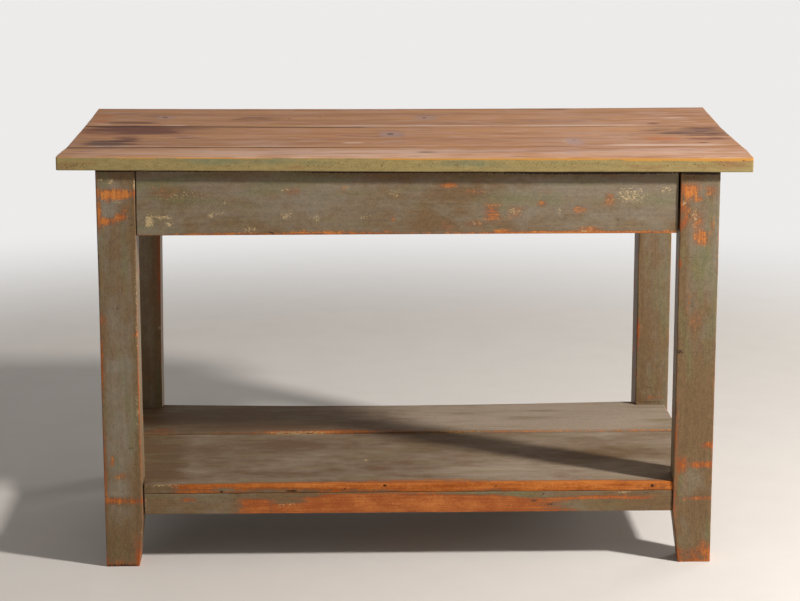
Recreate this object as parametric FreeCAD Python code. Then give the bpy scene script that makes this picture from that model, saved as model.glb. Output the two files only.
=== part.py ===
"""Farmhouse kitchen table: three-board top, pegged frame, low shelf, a drawer in each short end.

Millimetres. +X runs along the table, -Y is the front, +Z is up. The origin is on the floor under
the middle of the top. Left pieces are modelled, and the right ones are their mirror images.
"""
import FreeCAD, Part
import os
from math import cos, pi, sin, tan

from FreeCAD import Vector

# --- whole table
HEIGHT = 780.0              # floor to the surface of the top
TOP_THICK = 28.0
TOP_DEPTH = 725.4           # front edge to back edge of the top
FRAME_X = -4.0              # middle of the four legs, off the middle of the top
FRAME_Y = -14.5
FRAME_LENGTH = 1140.0       # over the outer faces of the legs
FRAME_DEPTH = 657.0

# --- top boards: y of each joint at the left and right end, x of each end at its front and back
FRONT_JOINT = (-256.0, -256.0)
BACK_JOINT = (64.0, 44.0)
LEFT_ENDS = {"front": (-644.0, -640.0), "middle": (-636.5, -635.0), "back": (-635.0, -634.0)}
RIGHT_ENDS = {"front": (618.5, 620.5), "middle": (622.0, 627.5), "back": (629.0, 644.0)}
CORNER_CUT = 6.0            # worn-off front corners of the top
TONGUE_THICK = 9.0
TONGUE_REACH = 9.0
TONGUE_ROOT = 2.0           # how far the tongue's own block starts inside its board
TONGUE_STOP = 2.0           # tongues stop short of the board ends

# --- legs
LEG = 69.0                  # square section
LEG_ARRIS = 2.0             # chamfer down the corners
FOOT_HEIGHT = 97.0          # the two inner faces draw in below this
FOOT_TAPER = 12.0

# --- aprons under the long edges of the top
APRON_HEIGHT = 122.0
APRON_THICK = 24.0
APRON_SET_BACK = 4.0        # behind the face of the legs
TENON_THICK = 8.0
TENON_LENGTH = 42.0
HAUNCH_HEIGHT = 30.0
TENON_RISE = 10.0           # shoulder under the tenon
HAUNCH_LENGTH = 10.0
MORTISE_ROOM = 2.0          # a mortise is this much deeper than its tenon
PEG_SHARES = (0.27, 0.73)   # where the two pegs stand over the height of the tenon

# --- flat rails across the ends, above and below the drawers
END_RAIL_WIDTH = 60.0
END_RAIL_SET_BACK = 3.0
TOP_RAIL_THICK = 16.0
DRAWER_RAIL_THICK = 20.0
TAIL_LENGTH = 34.0          # dovetails that tie the top rails into the legs
TAIL_ROOT = 34.0
TAIL_END = 46.0
FLAT_TENON = (44.0, 10.0, 26.0)     # width, thickness and length under the drawers

# --- runners, guides and kickers beside each drawer
CROSS_RAIL_THICK = 24.0
HOUSING_DEPTH = 8.0
RUNNER_THICK = 18.0
RUNNER_WIDTH = 63.0
GUIDE_HEIGHT = 24.0
KICKER_WIDTH = 60.0
STUB_LENGTH = 8.0
STUB_THICK = 8.0
OUTER_STUB = (3.0, 19.0)    # runner stubs, measured inwards from the face of the leg
INNER_STUB = (-22.0, 10.0)
STOP_SIZE = (12.0, 40.0, 6.0)
STOP_FROM_MIDDLE = 150.0
STOP_GAP = 0.5              # between a closed drawer front and its stops

# --- low shelf
RAIL_TOP = 140.0            # upper edge of the low rails, which the shelf lies on
RAIL_HEIGHT = 40.0
RAIL_THICK = 24.0
RAIL_SET_BACK = 3.5
RAIL_TENON = 40.0
STRETCHER_SET_BACK = 9.0
SHELF_THICK = 17.0
BACK_SHELF_THICK = 20.0     # the back board is the thicker one
SHELF_JOINT = 32.0          # y where the two boards meet
SHELF_BACK = 276.0
SHELF_END_GAP = 7.0         # board ends stop short of the outer faces of the legs
SHELF_GAP = 1.0             # clearance round the legs and between the boards
BATTEN_WIDTH = 52.0
BATTEN_THICK = 22.0
BATTEN_STUB = 36.0
RAIL_SHOULDER = 5.0         # above and below the tenons of the low rails

# --- drawers
DRAWER_GAP = 1.5            # beside and above the drawer front
DRAWER_LENGTH = 440.0
DRAWER_FRONT_THICK = 20.0
DRAWER_SIDE_THICK = 13.0
DRAWER_BACK_THICK = 14.0
DRAWER_LIFT = 0.4           # running clearance above the runners
SIDE_DROP = 2.0             # sides end this far below the top of the front
BACK_DROP = 4.0             # and the back this far below the sides
FRONT_TAIL = 14.0           # half-blind dovetails leave a lap in the front
FRONT_TAILS = 3
BACK_TAILS = 2
TAIL_SLOPE = 1.0 / 6.0
TAIL_SHARE = 0.72           # of the pitch that a tail takes at its wide end
BOTTOM_THICK = 7.0
BOTTOM_LIFT = 9.0           # underside of the bottom above the lower edge of the sides
GROOVE_DEPTH = 7.0

# --- turned knob
KNOB_RADIUS = 16.5
KNOB_REACH = 27.0
KNOB_NECK = 8.5
KNOB_SHANK = 6.5
KNOB_RIM = 2.5              # straight band round the widest part
KNOB_RIM_SHARE = 0.5        # of the reach, up to the rim
KNOB_CROWN = 1.2            # radians up the face's ellipse where it is cut off flat

# --- fastenings
PEG_RADIUS = 4.0
PEG_LENGTH = 34.0
PEG_SINK = 0.5
PEG_INSET = 18.0            # from the shoulder line into the leg
NAIL_HEAD = (7.0, 2.0)      # width and thickness of a cut nail's head
NAIL_SHANK = 3.0
NAIL_TIP = 1.6
NAIL_LENGTH = 42.0
PIN_LENGTH = 20.0           # small nails under the drawer bottoms
TOP_NAIL_LENGTH = 58.0
END_NAIL_LENGTH = 42.0      # shorter ones into the end rails and legs
NAIL_SINK = 1.0             # nail heads in the top are punched this far below its surface

# --- where the nails stand, from the middle of the frame or as y
TOP_NAILS_OUT = (361.0, 116.0)
TOP_NAILS_Y = (-200.0, -20.0, 105.0)
SHELF_NAILS_OUT = (420.0, 140.0)
STRETCHER_NAILS_Y = (-230.0, 0.0, 70.0, 215.0)
BATTEN_NAILS_Y = (-220.0, -20.0, 70.0, 190.0)
BATTEN_NAIL_LENGTH = 34.0
PIN_OUT = 165.0             # drawer bottom nails, either side of the middle one

# --- worked out
TOP_UNDER = HEIGHT - TOP_THICK
TOP_FRONT = -TOP_DEPTH / 2.0
TOP_BACK = TOP_DEPTH / 2.0
LEG_LEFT = FRAME_X - FRAME_LENGTH / 2.0
LEG_RIGHT = FRAME_X + FRAME_LENGTH / 2.0
LEG_FRONT = FRAME_Y - FRAME_DEPTH / 2.0
LEG_BACK = FRAME_Y + FRAME_DEPTH / 2.0
INNER_LEFT = LEG_LEFT + LEG
INNER_RIGHT = LEG_RIGHT - LEG
INNER_FRONT = LEG_FRONT + LEG
INNER_BACK = LEG_BACK - LEG
APRON_BOTTOM = TOP_UNDER - APRON_HEIGHT
APRON_FACE = LEG_FRONT + APRON_SET_BACK
APRON_INSIDE = APRON_FACE + APRON_THICK
APRON_TENON_Z = (APRON_BOTTOM + TENON_RISE, TOP_UNDER - HAUNCH_HEIGHT)
END_RAIL_X = (LEG_LEFT + END_RAIL_SET_BACK, LEG_LEFT + END_RAIL_SET_BACK + END_RAIL_WIDTH)
END_RAIL_MID = sum(END_RAIL_X) / 2.0
CROSS_RAIL_X = (FRAME_X - CROSS_RAIL_THICK / 2.0, FRAME_X + CROSS_RAIL_THICK / 2.0)
RUNNER_TOP = APRON_BOTTOM + DRAWER_RAIL_THICK
RUNNER_Z = (RUNNER_TOP - RUNNER_THICK, RUNNER_TOP)
KICKER_Z = (TOP_UNDER - TOP_RAIL_THICK, TOP_UNDER)
RAIL_Z = (RAIL_TOP - RAIL_HEIGHT, RAIL_TOP)
SHELF_X = (LEG_LEFT + SHELF_END_GAP, LEG_RIGHT - SHELF_END_GAP)
SHELF_FRONT = LEG_FRONT + RAIL_SET_BACK
STRETCHER_X = (LEG_LEFT + STRETCHER_SET_BACK, LEG_LEFT + STRETCHER_SET_BACK + RAIL_THICK)
DRAWER_Y = (INNER_FRONT + DRAWER_GAP, INNER_BACK - DRAWER_GAP)
DRAWER_FACE = END_RAIL_X[0]
DRAWER_INSIDE = DRAWER_FACE + DRAWER_FRONT_THICK
DRAWER_END = DRAWER_FACE + DRAWER_LENGTH
SIDE_Z = (RUNNER_TOP + DRAWER_LIFT, KICKER_Z[0] - DRAWER_GAP - SIDE_DROP)
FRONT_Z = (RUNNER_TOP + DRAWER_GAP, KICKER_Z[0] - DRAWER_GAP)
BOTTOM_Z = (SIDE_Z[0] + BOTTOM_LIFT, SIDE_Z[0] + BOTTOM_LIFT + BOTTOM_THICK)
BACK_Z = (BOTTOM_Z[1], SIDE_Z[1] - BACK_DROP)


def block(x, y, z):
    """Box over three (low, high) spans."""
    return Part.makeBox(x[1] - x[0], y[1] - y[0], z[1] - z[0], Vector(x[0], y[0], z[0]))


def prism(outline, plane, span):
    """Closed outline in plane "xy", "xz" or "yz", drawn out over a span of the third axis."""
    low, high = span
    if plane == "xy":
        points = [Vector(a, b, low) for a, b in outline]
        reach = Vector(0, 0, high - low)
    elif plane == "xz":
        points = [Vector(a, low, b) for a, b in outline]
        reach = Vector(0, high - low, 0)
    else:
        points = [Vector(low, a, b) for a, b in outline]
        reach = Vector(high - low, 0, 0)
    face = Part.Face(Part.makePolygon(points + points[:1]))
    solid = face.extrude(reach)
    if solid.Volume < 0:
        solid.reverse()
    return solid


def turned(profile, base, axis):
    """Revolve (radius, height) points about the height axis, and stand the result along axis at base."""
    points = [Vector(radius, 0, height) for radius, height in profile]
    face = Part.Face(Part.makePolygon(points + points[:1]))
    solid = face.revolve(Vector(0, 0, 0), Vector(0, 0, 1), 360)
    solid.Placement = FreeCAD.Placement(base, FreeCAD.Rotation(Vector(0, 0, 1), axis))
    return solid


def swap_side(shape):
    """Mirror image on the other end of the table."""
    return shape.mirror(Vector(FRAME_X, 0, 0), Vector(1, 0, 0))


def swap_front(shape):
    """Mirror image on the other long side of the frame."""
    return shape.mirror(Vector(0, FRAME_Y, 0), Vector(0, 1, 0))


def both_ends(shape):
    return [shape, swap_side(shape)]


def both_sides(shape):
    return [shape, swap_front(shape)]


def tenoned(body, along, tenon, length):
    """Rail with a tenon on each end, and the pair of mortises it needs.

    body holds the x, y and z spans between the shoulders, and tenon the spans that differ on the tenons.
    """
    low, high = body[along]
    core = dict(body)
    core.update(tenon)
    core[along] = (low - length, high + length)
    slot = dict(core)
    slot[along] = (low - length - MORTISE_ROOM, high + length + MORTISE_ROOM)
    return block(**body).fuse(block(**core)).removeSplitter(), block(**slot)


def middle(span, size):
    """Span of the given size in the middle of another span."""
    centre = (span[0] + span[1]) / 2.0
    return (centre - size / 2.0, centre + size / 2.0)


def cut_nail(x, y, top, length):
    """Nail sheared from plate, with its head let in flush at height top."""
    head_width, head_thick = NAIL_HEAD
    under_head = top - head_thick
    tip = top - length
    outline = [(x - head_width / 2.0, top), (x + head_width / 2.0, top),
               (x + head_width / 2.0, under_head), (x + NAIL_SHANK / 2.0, under_head),
               (x + NAIL_TIP / 2.0, tip), (x - NAIL_TIP / 2.0, tip),
               (x - NAIL_SHANK / 2.0, under_head), (x - head_width / 2.0, under_head)]
    return prism(outline, "xz", (y - NAIL_SHANK / 2.0, y + NAIL_SHANK / 2.0))


def peg(across, height, plane, face):
    """Peg shaved to eight sides, driven in along the third axis from just under a face of a leg."""
    flat = PEG_RADIUS * tan(pi / 8.0)
    corners = [(flat, PEG_RADIUS), (PEG_RADIUS, flat), (PEG_RADIUS, -flat), (flat, -PEG_RADIUS),
               (-flat, -PEG_RADIUS), (-PEG_RADIUS, -flat), (-PEG_RADIUS, flat), (-flat, PEG_RADIUS)]
    outline = [(across + side, height + rise) for side, rise in corners]
    return prism(outline, plane, (face + PEG_SINK, face + PEG_SINK + PEG_LENGTH))


def leg_blank():
    """Front left leg before its joints are cut: square section, arrises eased, foot drawn in."""
    x0, x1, y0, y1, c = LEG_LEFT, INNER_LEFT, LEG_FRONT, INNER_FRONT, LEG_ARRIS
    section = [(x0 + c, y0), (x1 - c, y0), (x1, y0 + c), (x1, y1 - c),
               (x1 - c, y1), (x0 + c, y1), (x0, y1 - c), (x0, y0 + c)]
    leg = prism(section, "xy", (0.0, TOP_UNDER))
    past = 1.0
    spread = FOOT_TAPER * past / FOOT_HEIGHT

    def wedge(face):
        return [(face - FOOT_TAPER - spread, -past), (face + past, -past), (face + past, FOOT_HEIGHT),
                (face, FOOT_HEIGHT)]

    leg = leg.cut(prism(wedge(x1), "xz", (y0 - past, y1 + past)))
    return leg.cut(prism(wedge(y1), "yz", (x0 - past, x1 + past)))


def make_aprons():
    """Front and back apron with haunched tenons, their mortises and their pegs."""
    between = (INNER_LEFT, INNER_RIGHT)
    thick = (APRON_FACE, APRON_INSIDE)
    body = {"x": between, "y": thick, "z": (APRON_BOTTOM, TOP_UNDER)}
    tenon_y = middle(thick, TENON_THICK)
    apron, mortise = tenoned(body, "x", {"y": tenon_y, "z": APRON_TENON_Z}, TENON_LENGTH)
    haunch = block((INNER_LEFT - HAUNCH_LENGTH, INNER_RIGHT + HAUNCH_LENGTH), tenon_y,
                   (APRON_TENON_Z[1], TOP_UNDER))
    apron = apron.fuse(haunch).removeSplitter()
    mortise = mortise.fuse(haunch)
    pegs = []
    for share in PEG_SHARES:
        height = APRON_TENON_Z[0] + share * (APRON_TENON_Z[1] - APRON_TENON_Z[0])
        front = peg(INNER_LEFT - PEG_INSET, height, "xz", LEG_FRONT)
        for left in both_sides(front):
            pegs += both_ends(left)
    return both_sides(apron), both_sides(mortise), pegs


def make_end_rails():
    """Left rails over and under the drawer. The upper one is dovetailed down into the leg tops."""
    x0, x1 = END_RAIL_X
    mid, root, end = END_RAIL_MID, TAIL_ROOT / 2.0, TAIL_END / 2.0
    tip = INNER_FRONT - TAIL_LENGTH
    front_half = [(x0, INNER_FRONT), (mid - root, INNER_FRONT), (mid - end, tip),
                  (mid + end, tip), (mid + root, INNER_FRONT), (x1, INNER_FRONT)]
    back_half = [(x, 2.0 * FRAME_Y - y) for x, y in reversed(front_half)]
    top_rail = prism(front_half + back_half, "xy", KICKER_Z)
    body = {"x": END_RAIL_X, "y": (INNER_FRONT, INNER_BACK), "z": (APRON_BOTTOM, RUNNER_TOP)}
    width, thick, length = FLAT_TENON
    tenon = {"x": middle(END_RAIL_X, width), "z": middle(body["z"], thick)}
    drawer_rail, mortise = tenoned(body, "y", tenon, length)
    return top_rail, drawer_rail, mortise


def make_drawer_bay():
    """Front left runner, guide and kicker. Runner and kicker are notched round the leg."""
    x0, x1 = END_RAIL_X[1], CROSS_RAIL_X[0]

    def strip(width, z):
        inside = APRON_INSIDE + width
        outline = [(INNER_LEFT, APRON_INSIDE), (x1, APRON_INSIDE), (x1, inside), (x0, inside),
                   (x0, INNER_FRONT), (INNER_LEFT, INNER_FRONT)]
        return prism(outline, "xy", z)

    stub_z = middle(RUNNER_Z, STUB_THICK)
    outer_y, inner_y = [(INNER_FRONT + low, INNER_FRONT + high) for low, high in (OUTER_STUB, INNER_STUB)]
    outer_stub = block((x0 - STUB_LENGTH, x0), outer_y, stub_z)
    inner_stub = block((x1, x1 + STUB_LENGTH), inner_y, stub_z)
    runner = strip(RUNNER_WIDTH, RUNNER_Z).fuse([outer_stub, inner_stub]).removeSplitter()
    guide = block((INNER_LEFT, x1), (APRON_INSIDE, INNER_FRONT), (RUNNER_TOP, RUNNER_TOP + GUIDE_HEIGHT))
    kicker = strip(KICKER_WIDTH, KICKER_Z)
    return runner, guide, kicker


def make_stops():
    """Two blocks on each drawer rail that the back of the drawer front comes up against."""
    length, width, height = STOP_SIZE
    x = (DRAWER_INSIDE + STOP_GAP, DRAWER_INSIDE + STOP_GAP + length)
    y = FRAME_Y - STOP_FROM_MIDDLE
    stop = block(x, (y - width / 2.0, y + width / 2.0), (RUNNER_TOP, RUNNER_TOP + height))
    stops = []
    for left in both_sides(stop):
        stops += both_ends(left)
    return stops


def make_top_boards():
    """Three long boards with tongue-and-groove joints. Their ends are sawn a little unevenly."""
    edges = {"front": ((TOP_FRONT, TOP_FRONT), FRONT_JOINT), "middle": (FRONT_JOINT, BACK_JOINT),
             "back": (BACK_JOINT, (TOP_BACK, TOP_BACK))}
    boards = {}
    for name, (near, far) in edges.items():
        left, right = LEFT_ENDS[name], RIGHT_ENDS[name]
        outline = [(left[0], near[0]), (right[0], near[1]), (right[1], far[1]), (left[1], far[0])]
        if name == "front":
            outline = [(left[0], near[0] + CORNER_CUT), (left[0] + CORNER_CUT, near[0]),
                       (right[0] - CORNER_CUT, near[1]), (right[0], near[1] + CORNER_CUT)] + outline[2:]
        boards[name] = prism(outline, "xy", (TOP_UNDER, HEIGHT))
    tongue_z = middle((TOP_UNDER, HEIGHT), TONGUE_THICK)
    x0, x1 = LEFT_ENDS["middle"][1] + TONGUE_STOP, RIGHT_ENDS["front"][1] - TONGUE_STOP
    for owner, other, (y0, y1) in (("front", "middle", FRONT_JOINT), ("middle", "back", BACK_JOINT)):
        reach = [(x1, y1 + TONGUE_REACH), (x0, y0 + TONGUE_REACH)]
        boards[other] = boards[other].cut(prism([(x0, y0), (x1, y1)] + reach, "xy", tongue_z))
        rooted = prism([(x0, y0 - TONGUE_ROOT), (x1, y1 - TONGUE_ROOT)] + reach, "xy", tongue_z)
        boards[owner] = boards[owner].fuse(rooted.cut(boards[other])).removeSplitter()
    return boards


def make_shelf_frame():
    """Low rails, end stretchers and the batten under the middle of the shelf, with their mortises."""
    between = (INNER_LEFT, INNER_RIGHT)
    tenon_z = (RAIL_Z[0] + RAIL_SHOULDER, RAIL_Z[1] - RAIL_SHOULDER)
    front_y = (SHELF_FRONT, SHELF_FRONT + RAIL_THICK)
    back_y = (SHELF_BACK - RAIL_THICK, SHELF_BACK)
    rails = {}
    mortises = []
    for name, y in (("shelf_rail_front", front_y), ("shelf_rail_back", back_y)):
        body = {"x": between, "y": y, "z": RAIL_Z}
        tenon = {"y": middle(y, TENON_THICK), "z": tenon_z}
        rails[name], mortise = tenoned(body, "x", tenon, RAIL_TENON)
        mortises.append(mortise)
    body = {"x": STRETCHER_X, "y": (INNER_FRONT, INNER_BACK), "z": RAIL_Z}
    tenon = {"x": middle(STRETCHER_X, TENON_THICK), "z": tenon_z}
    stretcher, mortise = tenoned(body, "y", tenon, RAIL_TENON)
    mortises += both_ends(mortise)
    rails["stretcher_left"], rails["stretcher_right"] = both_ends(stretcher)

    batten_z = (RAIL_TOP - BATTEN_THICK, RAIL_TOP)
    body = {"x": middle((FRAME_X, FRAME_X), BATTEN_WIDTH), "y": (front_y[1], back_y[0]), "z": batten_z}
    tenon = {"x": middle(body["x"], BATTEN_STUB), "z": middle(batten_z, STUB_THICK)}
    batten = tenoned(body, "y", tenon, STUB_LENGTH)[0]
    for name in ("shelf_rail_front", "shelf_rail_back"):
        rails[name] = rails[name].cut(batten)
    rails["shelf_batten"] = batten
    return rails, mortises


def make_shelf_pegs():
    """One peg through each tenon of the low rails and stretchers."""
    height = sum(RAIL_Z) / 2.0
    through_face = peg(INNER_LEFT - PEG_INSET, height, "xz", LEG_FRONT)
    through_side = peg(INNER_FRONT - PEG_INSET, height, "yz", LEG_LEFT)
    pegs = both_ends(through_face)
    for left in both_sides(through_side):
        pegs += both_ends(left)
    from_inside = peg(INNER_LEFT - PEG_INSET, height, "xz", INNER_BACK)
    return pegs + both_ends(from_inside)


def make_shelf_boards():
    """Two wide boards, each with its corners cut out round a pair of legs."""
    x0, x1 = SHELF_X
    notch = (INNER_LEFT + SHELF_GAP, INNER_RIGHT - SHELF_GAP)
    front_leg = INNER_FRONT + SHELF_GAP
    back_leg = INNER_BACK - SHELF_GAP
    seam = SHELF_JOINT - SHELF_GAP
    front = [(notch[0], SHELF_FRONT), (notch[1], SHELF_FRONT), (notch[1], front_leg), (x1, front_leg),
             (x1, seam), (x0, seam), (x0, front_leg), (notch[0], front_leg)]
    back = [(x0, SHELF_JOINT), (x1, SHELF_JOINT), (x1, back_leg), (notch[1], back_leg),
            (notch[1], SHELF_BACK), (notch[0], SHELF_BACK), (notch[0], back_leg), (x0, back_leg)]
    return {"shelf_board_front": prism(front, "xy", (RAIL_TOP, RAIL_TOP + SHELF_THICK)),
            "shelf_board_back": prism(back, "xy", (RAIL_TOP, RAIL_TOP + BACK_SHELF_THICK))}


def shelf_surface(y):
    """Height of the shelf at a place across it."""
    return RAIL_TOP + (SHELF_THICK if y < SHELF_JOINT else BACK_SHELF_THICK)


def make_shelf_nails():
    """Cut nails down through the shelf into rails, stretchers and batten."""
    nails = []
    for y in (SHELF_FRONT + RAIL_THICK / 2.0, SHELF_BACK - RAIL_THICK / 2.0):
        for out in SHELF_NAILS_OUT:
            nails += both_ends(cut_nail(FRAME_X - out, y, shelf_surface(y), NAIL_LENGTH))
    for y in STRETCHER_NAILS_Y:
        nails += both_ends(cut_nail(sum(STRETCHER_X) / 2.0, y, shelf_surface(y), NAIL_LENGTH))
    nails += [cut_nail(FRAME_X, y, shelf_surface(y), BATTEN_NAIL_LENGTH) for y in BATTEN_NAILS_Y]
    return nails


def head_hole(nail):
    """Space over a punched nail's head, up through the surface of the top."""
    bounds = nail.BoundBox
    return block((bounds.XMin, bounds.XMax), (bounds.YMin, bounds.YMax), (bounds.ZMax, HEIGHT))


def make_top_nails():
    """Cut nails down through the top boards into aprons, end rails and leg tops."""
    top = HEIGHT - NAIL_SINK
    nails = []
    for out in TOP_NAILS_OUT:
        left = cut_nail(FRAME_X - out, APRON_FACE + APRON_THICK / 2.0, top, TOP_NAIL_LENGTH)
        for nail in both_sides(left):
            nails += both_ends(nail)
    over_legs = (INNER_FRONT - TAIL_LENGTH / 2.0, INNER_BACK + TAIL_LENGTH / 2.0)
    for y in over_legs + TOP_NAILS_Y:
        nails += both_ends(cut_nail(END_RAIL_MID, y, top, END_NAIL_LENGTH))
    return nails


def tails(base, tip, span, count):
    """Outline points of dovetails spread over a height span, going up: narrow at base, wide at tip."""
    pitch = (span[1] - span[0]) / count
    wide = pitch * TAIL_SHARE / 2.0
    narrow = wide - abs(tip - base) * TAIL_SLOPE
    points = []
    for index in range(count):
        centre = span[0] + (index + 0.5) * pitch
        points += [(base, centre - narrow), (tip, centre - wide)]
        points += [(tip, centre + wide), (base, centre + narrow)]
    return points


def dovetailed_side():
    """Left drawer's side towards the front of the table: a board with tails sawn on both ends."""
    back_base = DRAWER_END - DRAWER_BACK_THICK
    front_edge = tails(DRAWER_INSIDE, DRAWER_INSIDE - FRONT_TAIL, SIDE_Z, FRONT_TAILS)
    back_edge = tails(back_base, DRAWER_END, BACK_Z, BACK_TAILS)
    outline = [(DRAWER_INSIDE, SIDE_Z[0])] + front_edge + [(DRAWER_INSIDE, SIDE_Z[1]), (back_base, SIDE_Z[1])]
    outline += reversed(back_edge)
    outline += [(back_base, BACK_Z[0]), (DRAWER_END, BACK_Z[0]), (DRAWER_END, SIDE_Z[0])]
    return prism(outline, "xz", (DRAWER_Y[0], DRAWER_Y[0] + DRAWER_SIDE_THICK))


def turned_knob():
    """Knob with its shank glued through the drawer front; its axis points out of the table.

    The neck is a cone that opens from waist to rim. Above the rim the face follows a quarter ellipse,
    cut off flat at the crown.
    """
    under_rim = KNOB_REACH * KNOB_RIM_SHARE
    rim_top = under_rim + KNOB_RIM
    crown_height = (KNOB_REACH - rim_top) / sin(KNOB_CROWN)
    neck = [(KNOB_NECK, 0), (KNOB_RADIUS, under_rim)]
    face = [(KNOB_RADIUS * cos(turn), rim_top + crown_height * sin(turn))
            for turn in (0.0, KNOB_CROWN / 2.0, KNOB_CROWN)]
    inner = -DRAWER_FRONT_THICK
    profile = [(0, inner), (KNOB_SHANK, inner), (KNOB_SHANK, 0)] + neck + face + [(0, KNOB_REACH)]
    height = sum(FRONT_Z) / 2.0
    return turned(profile, Vector(DRAWER_FACE, FRAME_Y, height), Vector(-1, 0, 0))


def make_drawer():
    """Left drawer: dovetailed box, bottom slid into grooves from behind and nailed up into the back."""
    side = dovetailed_side()
    sides = both_sides(side)
    front = block((DRAWER_FACE, DRAWER_INSIDE), DRAWER_Y, FRONT_Z)
    back = block((DRAWER_END - DRAWER_BACK_THICK, DRAWER_END), DRAWER_Y, BACK_Z)
    in_groove = DRAWER_SIDE_THICK - GROOVE_DEPTH
    groove_y = (DRAWER_Y[0] + in_groove, DRAWER_Y[1] - in_groove)
    bottom = block((DRAWER_INSIDE - GROOVE_DEPTH, DRAWER_END), groove_y, BOTTOM_Z)
    knob = turned_knob()
    nail_x = DRAWER_END - DRAWER_BACK_THICK / 2.0
    pins = []
    for y in (FRAME_Y - PIN_OUT, FRAME_Y, FRAME_Y + PIN_OUT):
        hanging = cut_nail(nail_x, y, BOTTOM_Z[0], PIN_LENGTH)
        pins.append(hanging.mirror(Vector(0, 0, BOTTOM_Z[0]), Vector(0, 0, 1)))
    return {"front": front.cut(sides + [bottom, knob]), "side_front": sides[0].cut(bottom),
            "side_back": sides[1].cut(bottom), "back": back.cut(sides + pins), "bottom": bottom.cut(pins),
            "knob": knob, "pins": Part.makeCompound(pins)}


def cut_all(nodes, names, tools):
    """Take the tools out of each named node."""
    for name in names:
        nodes[name] = nodes[name].cut(tools)


def build_table():
    nodes = {}
    (apron_front, apron_back), apron_mortises, apron_pegs = make_aprons()
    top_rail, drawer_rail, rail_mortise = make_end_rails()
    shelf_frame, shelf_mortises = make_shelf_frame()
    shelf_pegs = make_shelf_pegs()
    housed_y = APRON_INSIDE - HOUSING_DEPTH
    cross_rail = block(CROSS_RAIL_X, (housed_y, 2.0 * FRAME_Y - housed_y), (RUNNER_Z[0], TOP_UNDER))

    joints = apron_mortises + both_ends(top_rail) + both_ends(rail_mortise) + shelf_mortises
    joints += apron_pegs + shelf_pegs
    front_left = leg_blank()
    blanks = {"leg_front_left": front_left, "leg_front_right": swap_side(front_left)}
    blanks["leg_back_left"] = swap_front(front_left)
    blanks["leg_back_right"] = swap_side(blanks["leg_back_left"])
    for name, blank in blanks.items():
        nodes[name] = blank.cut(joints)

    nodes["apron_front"] = apron_front.cut([cross_rail] + apron_pegs)
    nodes["apron_back"] = apron_back.cut([cross_rail] + apron_pegs)
    nodes["cross_rail"] = cross_rail
    nodes["end_rail_top_left"], nodes["end_rail_top_right"] = both_ends(top_rail)
    nodes["end_rail_drawer_left"], nodes["end_rail_drawer_right"] = both_ends(drawer_rail)
    for part, shape in zip(("runner", "guide", "kicker"), make_drawer_bay()):
        for side, left in zip(("front", "back"), both_sides(shape)):
            nodes[f"{part}_{side}_left"], nodes[f"{part}_{side}_right"] = both_ends(left)
    runners = [nodes[name] for name in nodes if name.startswith("runner")]
    cut_all(nodes, ["cross_rail", "end_rail_drawer_left", "end_rail_drawer_right"], runners)
    nodes["drawer_stops"] = Part.makeCompound(make_stops())

    for name, board in make_top_boards().items():
        nodes[f"top_board_{name}"] = board
    nodes.update(shelf_frame)
    nodes.update(make_shelf_boards())
    nodes["apron_pegs"] = Part.makeCompound(apron_pegs)
    nodes["shelf_pegs"] = Part.makeCompound(shelf_pegs)
    cut_all(nodes, shelf_frame, shelf_pegs)

    nails = make_shelf_nails()
    cut_all(nodes, list(shelf_frame) + ["shelf_board_front", "shelf_board_back"], nails)
    nodes["shelf_nails"] = Part.makeCompound(nails)
    top_nails = make_top_nails()
    nailed = [name for name in nodes if name.startswith(("leg", "apron_front", "apron_back", "end_rail_top"))]
    cut_all(nodes, nailed, top_nails)
    sunk = [nail.fuse(head_hole(nail)) for nail in top_nails]
    cut_all(nodes, ["top_board_front", "top_board_middle", "top_board_back"], sunk)
    nodes["top_nails"] = Part.makeCompound(top_nails)
    return nodes


def build_drawers():
    nodes = {}
    for part, shape in make_drawer().items():
        nodes[f"drawer_left_{part}"], nodes[f"drawer_right_{part}"] = both_ends(shape)
    return nodes


def main():
    os.makedirs("parts", exist_ok=True)
    nodes = build_table()
    nodes.update(build_drawers())
    for name, shape in nodes.items():
        if not shape.isValid():
            raise RuntimeError(name + " is not a valid shape")
        shape.exportStep("parts/" + name + ".step")
        print(name, len(shape.Solids), round(shape.Volume / 1000.0, 1), "cm3")


main()
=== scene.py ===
import itertools
from math import pi, radians
import bpy
import numpy as np
from mathutils import Matrix, Vector


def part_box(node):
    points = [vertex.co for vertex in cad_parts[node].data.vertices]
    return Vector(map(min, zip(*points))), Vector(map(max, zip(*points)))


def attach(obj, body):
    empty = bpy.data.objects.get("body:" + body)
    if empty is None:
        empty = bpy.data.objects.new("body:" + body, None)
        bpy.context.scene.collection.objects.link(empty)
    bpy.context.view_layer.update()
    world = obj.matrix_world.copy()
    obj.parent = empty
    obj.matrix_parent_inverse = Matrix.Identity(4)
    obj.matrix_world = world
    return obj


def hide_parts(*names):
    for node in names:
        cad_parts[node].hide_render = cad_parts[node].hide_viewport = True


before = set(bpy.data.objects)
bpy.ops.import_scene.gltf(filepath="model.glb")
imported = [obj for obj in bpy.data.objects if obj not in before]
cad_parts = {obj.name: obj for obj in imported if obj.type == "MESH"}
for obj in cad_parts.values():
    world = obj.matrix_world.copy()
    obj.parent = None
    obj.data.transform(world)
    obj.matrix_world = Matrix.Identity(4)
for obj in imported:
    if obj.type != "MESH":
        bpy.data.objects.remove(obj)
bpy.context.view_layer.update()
print("frame loaded:", len(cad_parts), "nodes")

mm, percent = 0.001, 0.01  # marks and arrises are listed in these, all else in metres


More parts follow.
